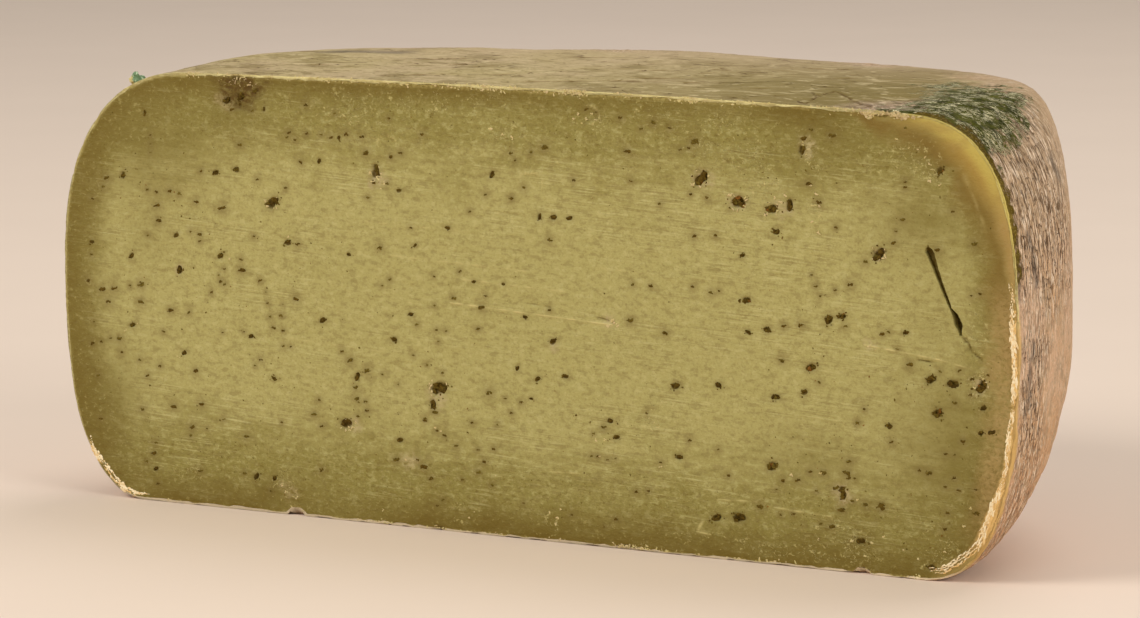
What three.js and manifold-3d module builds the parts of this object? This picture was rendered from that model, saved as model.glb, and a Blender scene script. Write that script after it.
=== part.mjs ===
// Half a wheel of green herb cheese, cut upright through its middle and standing on its flat base.
// Millimetres, +Z up. X runs along the cut, and the cut face looks along -Y.
// The origin is under the middle of the half wheel, on the surface that it stands on.

import * as THREE from "three";
import { mergeVertices } from "three/addons/utils/BufferGeometryUtils.js";
import Module from "manifold-3d";

const wasm = await Module();
wasm.setup();

// The wheel
const WHEEL_HEIGHT = 100;
const WHEEL_RADIUS = 119.5;
const TOP_DOME = 1.5; // the top's fall from the axis to the wheel's radius
const TOP_LEAN = 0.02; // the top's rise for each millimetre behind the cut

// The rind's profile, by direction: degrees from the right end of the cut, round the back, to its left end.
// The belly is the height of the widest place, and swell is what its radius has over WHEEL_RADIUS.
// The shoulder and the foot draw in by these amounts. A form of 2 is an ellipse, and more is squarer.
const RIND = [
  { direction: 0, belly: 47, swell: -0.4, shoulder: 30.5, shoulderForm: 3, foot: 21.5, footForm: 2.4 },
  { direction: 35, belly: 45.5, swell: 2.4, shoulder: 15, shoulderForm: 3.3, foot: 43, footForm: 1.9 },
  { direction: 75, belly: 50, swell: 0, shoulder: 37, shoulderForm: 2.2, foot: 30, footForm: 2.1 },
  { direction: 115, belly: 50, swell: 0, shoulder: 40, shoulderForm: 2.2, foot: 25, footForm: 2.2 },
  { direction: 150, belly: 54, swell: 0, shoulder: 18, shoulderForm: 2.3, foot: 22, footForm: 2.4 },
  { direction: 180, belly: 55, swell: 0, shoulder: 34, shoulderForm: 2.3, foot: 23, footForm: 2.6 },
];

// Low waves in the rind, from the cloth and the hands that turned the wheel.
const RIND_WAVES = [
  { height: 0.3, across: 5, up: 1.5, start: 0.4 },
  { height: 0.2, across: 11, up: 3, start: 2.1 },
  { height: 0.12, across: 19, up: 5, start: 4.4 },
];
const WAVES_FROM_CUT = 18; // degrees within which they fade in
const WAVES_FROM_BASE = 25;

// Where the edge of the cut is broken or rounded back. The turn is in degrees above the horizontal,
// seen from the middle of that end of the face. The width lies in the face and the depth behind it.
const END_MIDDLE = { x: 70, z: 50 };
const RIGHT_EDGE = [
  { turn: -60, width: 5, depth: 0 },
  { turn: -53, width: 5, depth: 1.4 },
  { turn: -44, width: 3, depth: 2.2 },
  { turn: -27, width: 1.4, depth: 1.8 },
  { turn: -10, width: 1, depth: 1 },
  { turn: 12, width: 1.2, depth: 1.4 },
  { turn: 26, width: 4, depth: 0.8 },
  { turn: 42, width: 8, depth: 1.3 },
  { turn: 56, width: 7, depth: 1 },
  { turn: 66, width: 5, depth: 0 },
];
const LEFT_EDGE = [
  { turn: -58, width: 1.5, depth: 0 },
  { turn: -50, width: 2.4, depth: 1.2 },
  { turn: -42, width: 1.6, depth: 0.9 },
  { turn: -34, width: 1, depth: 0.3 },
  { turn: 40, width: 1, depth: 0.3 },
  { turn: 60, width: 1, depth: 0 },
];

// The slit in the paste, from its top end down: places on the face and the width of the gap.
const SLIT = [
  { x: 98.6, z: 70.2, width: 0.3 },
  { x: 99.6, z: 68, width: 1.1 },
  { x: 101.2, z: 64.2, width: 0.9 },
  { x: 102.8, z: 60.4, width: 0.4 },
  { x: 103.6, z: 57.2, width: 0.7 },
  { x: 104.6, z: 55, width: 1.5 },
  { x: 105.6, z: 51.8, width: 0.2 },
];
const SLIT_DEPTH = 6;

// The largest herb flecks that the knife dragged out, as [x, z, length, tilt in degrees] on the face.
const FLECKS = [
  [-103, 75, 1.8, 60], [-78, 77, 1.6, 0], [-63, 71, 3.6, 35], [-97, 89.5, 1.2, 80], [-89, 62, 1.4, 30],
  [-88, 54, 2, 80], [-101, 56.5, 1.6, 60], [-101, 40.5, 1.8, 10], [-87, 35, 1.4, 20], [-59, 62, 1.8, 10],
  [-50, 45, 1.8, 20], [-63, 31, 1.3, 0], [-44, 22, 3.2, 15], [-41, 33, 2.2, 70], [-36, 79.5, 3.4, 80],
  [-30, 75.5, 1.4, 0], [-31.5, 42, 1.8, 0], [-27, 48, 1.5, 0], [-20, 32, 4.6, 20], [-21.5, 28, 2.6, 85],
  [-17.5, 68, 1.5, 0], [-6.5, 80.5, 1.8, 60], [5.5, 72, 1.8, 80], [9, 72, 1.6, 20], [13, 72, 1.5, 10],
  [9, 44.5, 2, 10], [12, 37, 1.5, 0], [5, 36, 1.6, 40], [23, 28, 1.8, 10], [39, 37, 2.2, 20],
  [49.5, 38, 1.8, 0], [63, 36.5, 2, 10], [45, 82.5, 4, 45], [54, 78, 3.8, 5], [62, 77, 3, 20],
  [66, 78, 2.6, 70], [63, 72, 1.8, 10], [56, 57, 2, 0], [61, 51, 1.8, 0], [75.5, 54, 2.4, 60],
  [78.5, 55, 2.2, 10], [71.5, 43.5, 2.6, 10], [87, 69, 3.4, 20], [69, 90, 2.4, 85], [101, 87.5, 2, 40],
  [99.5, 43, 2.2, 30], [104.5, 42.5, 2.6, 15], [111, 42.5, 3.4, 60], [101, 36, 2.4, 20], [49, 9, 2.2, 10],
  [54.5, 9.5, 2.8, 0], [79.5, 16.5, 2, 80], [83.5, 7, 2.2, 0], [-68, 8, 1.8, 20], [-63, 8, 1.6, 60],
];
const FLECK_FLATNESS = 0.62; // a fleck's width for its length
const FLECK_DEPTH = 0.38; // the depth of its pit for its length
const LARGE_FLECK = 2.5;

// Pieces torn out of the edges of the face, as [x, z, length, depth], and what still clings to them.
const EDGE_CHIPS = [
  [-57.4, 0.4, 3.6, 1.6], [84, 0.2, 4, 1.4], [-20, 0.3, 5, 0.8], [27, 0.3, 6, 0.8],
  [88, 98.6, 5, 1.2], [91.5, 98.4, 3, 1], [14, 99.9, 5, 0.9], [-73, 98.8, 3, 1.2],
];
const CLINGING_CRUMBS = [
  [-70, 98.7, 1.4], [-66.5, 99.1, 1.8], [-63.5, 99.3, 1.2], [11, 99.8, 1.1], [18, 99.8, 1.3], [86, 98.7, 1.2],
];
const HERB_CRUMB = { x: -98.6, y: 3.2, z: 97.4, size: 2.6 }; // stuck on the left shoulder

// The fineness of the solid
const AROUND = 44; // steps of direction
const UP = 22; // steps from the foot of the rind to its shoulder
const PROFILE_STEPS = 60;
const INWARD = [1, 0.991, 0.974, 0.95, 0.9, 0.8, 0.62, 0.4, 0.2, 0]; // shares of the way from the axis
const CRUMB_RAGGEDNESS = 0.18;
const SEED = 20;

const toRadians = THREE.MathUtils.degToRad;
const random = seededRandom(SEED);

function seededRandom(seed) {
  let state = seed;
  return () => {
    state = (Math.imul(state, 1664525) + 1013904223) >>> 0;
    return state / 2 ** 32;
  };
}

// The values of a list of stations at one place, with a smooth step from each station to the next.
function along(stations, key, at) {
  const clamped = THREE.MathUtils.clamp(at, stations[0][key], stations.at(-1)[key]);
  const next = Math.max(1, stations.findIndex((station) => station[key] >= clamped));
  const [before, after] = [stations[next - 1], stations[next]];
  const share = THREE.MathUtils.smoothstep(clamped, before[key], after[key]);
  const values = {};
  for (const name of Object.keys(before)) {
    values[name] = THREE.MathUtils.lerp(before[name], after[name], share);
  }
  return values;
}

// The outline of the rind in one direction: equally spaced points of its reach from the axis and its height.
function profileTowards(direction) {
  const rind = along(RIND, "direction", direction);
  const points = [];
  for (let step = -PROFILE_STEPS; step <= PROFILE_STEPS; step++) {
    const turn = Math.abs(step / PROFILE_STEPS) * Math.PI / 2;
    const isShoulder = step >= 0;
    const power = 2 / (isShoulder ? rind.shoulderForm : rind.footForm);
    const drawn = (isShoulder ? rind.shoulder : rind.foot) * (1 - Math.max(0, Math.cos(turn)) ** power);
    const way = Math.sin(turn) ** power;
    const height = isShoulder ? rind.belly + (WHEEL_HEIGHT - rind.belly) * way : rind.belly * (1 - way);
    points.push(new THREE.Vector2(WHEEL_RADIUS + rind.swell - drawn, height));
  }
  const curve = new THREE.SplineCurve(points);
  curve.arcLengthDivisions = points.length * 6;
  return curve.getSpacedPoints(UP);
}

// The slow rise and fall of the rind, which is still at the ends of the cut and at the base.
function rindWave(direction, height) {
  const fromCut = Math.min(direction, 180 - direction);
  const besideCut = THREE.MathUtils.smoothstep(fromCut, 0, WAVES_FROM_CUT);
  const fade = besideCut * THREE.MathUtils.smoothstep(height, 0, WAVES_FROM_BASE);
  let wave = 0;
  for (const { height: size, across, up, start } of RIND_WAVES) {
    const sideways = Math.sin(across * toRadians(direction) + start);
    wave += size * sideways * Math.cos(up * height / WHEEL_HEIGHT + start);
  }
  return wave * fade;
}

// A place with the top's dome and lean, which fade out towards the base.
function leaned(x, y, height) {
  const out = (x * x + y * y) / WHEEL_RADIUS ** 2;
  return new THREE.Vector3(x, y, height + height / WHEEL_HEIGHT * (TOP_LEAN * y - TOP_DOME * out));
}

// One end of the cut face: for each row its reach, its height and how far its edge is broken back.
function faceEnd(direction, breaks) {
  return profileTowards(direction).map(({ x: reach, y: height }) => {
    const turn = Math.atan2(height - END_MIDDLE.z, reach - END_MIDDLE.x);
    return { reach, height, ...along(breaks, "turn", THREE.MathUtils.radToDeg(turn)) };
  });
}

const rightEnd = faceEnd(0, RIGHT_EDGE);
const leftEnd = faceEnd(180, LEFT_EDGE);

// How far behind the cut a place on the face lies, from its nearest point on the broken edge.
function brokenBack(end, reach, height) {
  let nearest = { distance: Infinity, width: 1, depth: 0 };
  for (let row = 0; row < end.length - 1; row++) {
    const [from, to] = [end[row], end[row + 1]];
    const [runReach, runHeight] = [to.reach - from.reach, to.height - from.height];
    const length = runReach ** 2 + runHeight ** 2;
    const dot = (reach - from.reach) * runReach + (height - from.height) * runHeight;
    const share = THREE.MathUtils.clamp(dot / length, 0, 1);
    const gapReach = reach - from.reach - share * runReach;
    const gapHeight = height - from.height - share * runHeight;
    const distance = Math.hypot(gapReach, gapHeight);
    if (distance < nearest.distance) {
      const width = THREE.MathUtils.lerp(from.width, to.width, share);
      nearest = { distance, width, depth: THREE.MathUtils.lerp(from.depth, to.depth, share) };
    }
  }
  const share = Math.max(0, 1 - nearest.distance / nearest.width);
  return nearest.depth * (1 - Math.sqrt(1 - share * share));
}

// The rind's profiles in all directions. The first and last columns start at the broken edge of the cut.
const profiles = [];
for (let column = 0; column <= AROUND; column++) {
  profiles.push(profileTowards(column / AROUND * 180));
}

function rindPoint(row, column) {
  const { x: reach, y: height } = profiles[column][row];
  const first = Math.asin(rightEnd[row].depth / reach);
  const last = Math.PI - Math.asin(leftEnd[row].depth / reach);
  const direction = THREE.MathUtils.lerp(first, last, column / AROUND);
  const out = reach + rindWave(THREE.MathUtils.radToDeg(direction), height);
  return leaned(out * Math.cos(direction), out * Math.sin(direction), height);
}

function topPoint(ring, column) {
  const rim = rindPoint(UP, column);
  return leaned(rim.x * INWARD[ring], rim.y * INWARD[ring], WHEEL_HEIGHT);
}

function basePoint(ring, column) {
  const rim = rindPoint(0, column);
  return new THREE.Vector3(rim.x * INWARD[ring], rim.y * INWARD[ring], 0);
}

// The face's columns run from the left end to the axis and on to the right end.
const FACE_SHARES = [...INWARD.map((share) => -share), ...INWARD.slice(0, -1).reverse()];

function facePoint(row, column) {
  const share = FACE_SHARES[column];
  const [end, edgeColumn] = share < 0 ? [leftEnd, AROUND] : [rightEnd, 0];
  const edge = rindPoint(row, edgeColumn);
  if (Math.abs(share) === 1) return edge;
  const height = THREE.MathUtils.lerp(leftEnd[row].height, rightEnd[row].height, (share + 1) / 2);
  const behind = brokenBack(end, end[row].reach * Math.abs(share), height);
  return leaned(edge.x * Math.abs(share), behind, height);
}

// Two triangles for each cell of a grid of points, without those that have shrunk to a line.
function addSheet(corners, pointAt, rows, columns) {
  for (let row = 0; row < rows; row++) {
    for (let column = 0; column < columns; column++) {
      const [a, b] = [pointAt(row, column), pointAt(row, column + 1)];
      const [c, d] = [pointAt(row + 1, column + 1), pointAt(row + 1, column)];
      for (const triangle of [[a, b, c], [a, c, d]]) {
        const [p, q, r] = triangle;
        if (!p.equals(q) && !q.equals(r) && !r.equals(p)) corners.push(...triangle);
      }
    }
  }
}

function halfWheel() {
  const corners = [];
  addSheet(corners, rindPoint, UP, AROUND);
  addSheet(corners, topPoint, INWARD.length - 1, AROUND);
  addSheet(corners, (ring, column) => basePoint(ring, AROUND - column), INWARD.length - 1, AROUND);
  addSheet(corners, facePoint, UP, FACE_SHARES.length - 1);
  return new THREE.BufferGeometry().setFromPoints(corners);
}

// A lump with ragged corners. Its sizes are those along X, Y and Z before it is tilted about Y.
function lump(size, tilt, detail) {
  const geometry = weld(new THREE.IcosahedronGeometry(0.5, detail));
  const position = geometry.getAttribute("position");
  for (let i = 0; i < position.count; i++) {
    const grown = 1 + CRUMB_RAGGEDNESS * (2 * random() - 1);
    position.setXYZ(i, position.getX(i) * grown, position.getY(i) * grown, position.getZ(i) * grown);
  }
  return geometry.scale(size.x, size.y, size.z).rotateY(-toRadians(tilt));
}

function weld(geometry) {
  geometry.deleteAttribute("normal");
  geometry.deleteAttribute("uv");
  return mergeVertices(geometry);
}

// The outline of the slit, down one side and up the other, pushed straight into the paste.
function slitTool() {
  const right = SLIT.map(({ x, z, width }) => new THREE.Vector2(x + width / 2, z));
  const left = SLIT.map(({ x, z, width }) => new THREE.Vector2(x - width / 2, z)).reverse();
  const outline = new THREE.Shape([...right, ...left]);
  const geometry = new THREE.ExtrudeGeometry(outline, { depth: 2 * SLIT_DEPTH, bevelEnabled: false });
  return geometry.translate(0, 0, -SLIT_DEPTH).rotateX(Math.PI / 2);
}

function fleckTool([x, z, length, tilt]) {
  const size = new THREE.Vector3(length, 2 * FLECK_DEPTH * length, FLECK_FLATNESS * length);
  return lump(size, tilt, length < LARGE_FLECK ? 0 : 1).translate(x, 0, z);
}

function chipTool([x, z, length, depth]) {
  return lump(new THREE.Vector3(length, 2 * depth, depth), 0, 0).translate(x, 0, z);
}

function crumb([x, z, size]) {
  return lump(new THREE.Vector3(size, size, size * 0.7), 0, 0).translate(x, size * 0.62, z);
}

function herbCrumb({ x, y, z, size }) {
  return lump(new THREE.Vector3(size, size * 0.8, size), 30, 1).translate(x, y, z);
}

function toSolid(geometry) {
  const welded = weld(geometry.clone());
  const vertProperties = new Float32Array(welded.getAttribute("position").array);
  const triVerts = new Uint32Array(welded.getIndex().array);
  return new wasm.Manifold(new wasm.Mesh({ numProp: 3, vertProperties, triVerts }));
}

function toGeometry(solid) {
  const mesh = solid.getMesh();
  const geometry = new THREE.BufferGeometry();
  geometry.setAttribute("position", new THREE.BufferAttribute(mesh.vertProperties, 3));
  geometry.setIndex(new THREE.BufferAttribute(mesh.triVerts, 1));
  return geometry;
}

// The half wheel with its slit, pits and chips, and with the crumbs that cling to it.
function cheese() {
  let solid = toSolid(halfWheel());
  for (const tool of [slitTool(), ...FLECKS.map(fleckTool), ...EDGE_CHIPS.map(chipTool)]) {
    solid = solid.subtract(toSolid(tool));
  }
  for (const bit of [...CLINGING_CRUMBS.map(crumb), herbCrumb(HERB_CRUMB)]) {
    solid = solid.add(toSolid(bit));
  }
  return toGeometry(solid);
}

// The whole, moved so that its box stands centred on the origin.
function standing(geometry) {
  geometry.computeBoundingBox();
  const middle = geometry.boundingBox.getCenter(new THREE.Vector3());
  return geometry.translate(-middle.x, -middle.y, -geometry.boundingBox.min.z);
}

const geometry = standing(cheese());
geometry.computeVertexNormals();

const paste = new THREE.MeshStandardMaterial({ color: 0x9c9254, roughness: 0.55, metalness: 0 });
const mesh = new THREE.Mesh(geometry, paste);
mesh.name = "cheese";

const tomme = new THREE.Group();
tomme.add(mesh);

export default tomme;
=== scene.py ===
# Half a wheel of green herb cheese: its cut paste, its rind, and the herbs and crumbs on them.
# Shapes are worked out in millimetres, with the cut face in the plane y = 0 and the wheel's axis
# at x = 0, y = 0. Each mesh is then moved into the frame, in metres.

import bmesh
import bpy
import numpy as np
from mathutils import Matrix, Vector
from mathutils.geometry import delaunay_2d_cdt
from mathutils.kdtree import KDTree


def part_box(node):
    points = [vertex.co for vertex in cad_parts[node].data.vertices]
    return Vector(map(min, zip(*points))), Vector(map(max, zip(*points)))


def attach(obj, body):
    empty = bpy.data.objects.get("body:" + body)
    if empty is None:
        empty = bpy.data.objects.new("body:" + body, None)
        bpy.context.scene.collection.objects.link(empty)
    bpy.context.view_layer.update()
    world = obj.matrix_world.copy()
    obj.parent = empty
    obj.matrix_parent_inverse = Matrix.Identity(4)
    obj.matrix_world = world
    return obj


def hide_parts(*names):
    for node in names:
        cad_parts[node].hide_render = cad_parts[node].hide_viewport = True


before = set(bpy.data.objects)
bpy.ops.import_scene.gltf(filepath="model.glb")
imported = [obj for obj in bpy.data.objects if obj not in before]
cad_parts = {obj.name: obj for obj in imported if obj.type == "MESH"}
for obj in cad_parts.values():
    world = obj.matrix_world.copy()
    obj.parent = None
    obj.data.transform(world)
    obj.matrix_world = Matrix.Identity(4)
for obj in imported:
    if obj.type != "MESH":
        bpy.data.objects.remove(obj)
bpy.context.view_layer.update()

MM = 0.001
SEED = 7
random = np.random.default_rng(SEED)

# The wheel, as in the solid
WHEEL_HEIGHT = 100
WHEEL_RADIUS = 119.5
TOP_DOME = 1.5
TOP_LEAN = 0.02
AXIS_FROM_RIGHT = 119.1  # the wheel's axis, from the right end of the cut

# The rind's profile by direction, in degrees from the right end of the cut round to the left:
# direction, belly height, swell, shoulder, shoulder's form, foot, foot's form.
RIND = np.array([
    (0, 47, -0.4, 30.5, 3, 21.5, 2.4),
    (35, 45.5, 2.4, 15, 3.3, 43, 1.9),
    (75, 50, 0, 37, 2.2, 30, 2.1),
    (115, 50, 0, 40, 2.2, 25, 2.2),
    (150, 54, 0, 18, 2.3, 22, 2.4),
    (180, 55, 0, 34, 2.3, 23, 2.6),
])
# Low waves in the rind: height, turns across, turns up, start.
RIND_WAVES = [(0.3, 5, 1.5, 0.4), (0.2, 11, 3, 2.1), (0.12, 19, 5, 4.4)]
WAVES_FROM_CUT = 18
WAVES_FROM_BASE = 25

# Where the edge of the cut is broken or rounded back: degrees about the end's middle, width, depth.
END_MIDDLE = (70, 50)
RIGHT_EDGE = np.array([
    (-60, 5, 0), (-53, 5, 1.4), (-44, 3, 2.2), (-27, 1.4, 1.8), (-10, 1, 1),
    (12, 1.2, 1.4), (26, 4, 0.8), (42, 8, 1.3), (56, 7, 1), (66, 5, 0),
])
LEFT_EDGE = np.array([
    (-58, 1.5, 0), (-50, 2.4, 1.2), (-42, 1.6, 0.9), (-34, 1, 0.3), (40, 1, 0.3), (60, 1, 0),
])

# The slit in the paste: x, z, the gap's width and its depth, from its top end down.
SLIT = np.array([
    (98.4, 71.2, 0.4, 0.8), (98.6, 70.7, 1.6, 1.3), (98.9, 69.9, 2, 1.5), (99.6, 68.2, 1.4, 1.3),
    (101.2, 64.2, 1.1, 1.2), (102.8, 60.6, 0.9, 1.1), (103.8, 58.4, 0.5, 1), (104.7, 57.4, 1.4, 2.2),
    (105.5, 55.4, 1.9, 2.6), (106.1, 53, 0.5, 1.6),
])
# Fine cracks that run on from it, painted dark as shade in them: x, z of both ends, and strength.
CRACKS = [
    (106.2, 53, 107.4, 51.6, 1), (107.4, 52.4, 108.6, 49.8, 1), (108.6, 49.8, 111.9, 47.4, 0.8),
    (96.5, 47, 100.5, 46.7, 0.9), (22.6, 50.2, 18.4, 51, 0.8), (2.5, 52.6, 8, 52.2, 0.5),
]

CRACK_WIDTH = 0.2
CRACK_DEPTH = 0.5

# Herb flecks: x, z, length and tilt in degrees. The first of them are pits in the solid too.
FLECKS = [
    (-103, 75, 1.8, 60), (-78, 77, 1.6, 0), (-63, 71, 3.6, 35), (-97, 89.5, 1.2, 80), (-89, 62, 1.4, 30),
    (-88, 54, 2, 80), (-101, 56.5, 1.6, 60), (-101, 40.5, 1.8, 10), (-87, 35, 1.4, 20),
    (-59, 62, 1.8, 10), (-50, 45, 1.8, 20), (-63, 31, 1.3, 0), (-44, 22, 3.2, 15), (-41, 33, 2.2, 70),
    (-36, 79.5, 3.4, 80), (-30, 75.5, 1.4, 0), (-31.5, 42, 1.8, 0), (-27, 48, 1.5, 0), (-20, 32, 4.6, 20),
    (-21.5, 28, 2.6, 85), (-17.5, 68, 1.5, 0), (-6.5, 80.5, 1.8, 60), (5.5, 72, 1.8, 80),
    (9, 72, 1.6, 20), (13, 72, 1.5, 10), (9, 44.5, 2, 10), (12, 37, 1.5, 0), (5, 36, 1.6, 40),
    (23, 28, 1.8, 10), (39, 37, 2.2, 20), (49.5, 38, 1.8, 0), (63, 36.5, 2, 10), (45, 82.5, 4, 45),
    (54, 78, 3.8, 5), (62, 77, 3, 20), (66, 78, 2.6, 70), (63, 72, 1.8, 10), (56, 57, 2, 0),
    (61, 51, 1.8, 0), (75.5, 54, 2.4, 60), (78.5, 55, 2.2, 10), (71.5, 43.5, 2.6, 10), (87, 69, 3.4, 20),
    (69, 90, 2.4, 85), (101, 87.5, 2, 40), (99.5, 43, 2.2, 30), (104.5, 42.5, 2.6, 15),
    (111, 42.5, 3.4, 60), (101, 36, 2.4, 20), (49, 9, 2.2, 10), (54.5, 9.5, 2.8, 0), (79.5, 16.5, 2, 80),
    (83.5, 7, 2.2, 0), (-68, 8, 1.8, 20), (-63, 8, 1.6, 60), (-72.5, 78, 1.3, 0), (-112, 59, 1.2, 20),
    (-77, 58, 1.4, 40), (-43, 60.5, 1.3, 0), (-26, 63.5, 1.3, 30), (-50.5, 81, 1.2, 70),
    (-45.5, 86.5, 1.2, 80), (-11, 56.5, 1.3, 0), (-3.5, 56.5, 1.1, 10), (55, 66.5, 1.1, 0),
    (-69, 40, 1.2, 20), (2, 49.5, 1.2, 0), (-30, 19.5, 1.7, 20), (0, 38, 1.3, 50), (3.5, 31.5, 1.2, 0),
    (24.5, 24.5, 1.7, 10), (40, 21.5, 1.6, 0), (70, 38, 1.6, 30), (56.5, 50, 1.3, 0),
    (111.5, 38, 1.6, 40), (113.5, 33, 1.5, 0), (111, 32.5, 1.3, 20), (62.5, 21.5, 2.8, 40),
    (90, 32.5, 1.5, 0), (100, 3, 1.6, 0), (79, 18, 1.7, 60), (-95, 7.5, 1.4, 20), (93.5, 52.5, 1.2, 0),
    (-71.2, 94.3, 2.4, 30), (-75, 93.4, 2.2, 20), (-65, 92, 1.3, 70),
]
FLECK_FLATNESS = 0.62
PIT_DEPTH = 0.2  # of a fleck's length
REDDISH_FROM = 30  # to the right of this x some bits of herb are reddish

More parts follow.
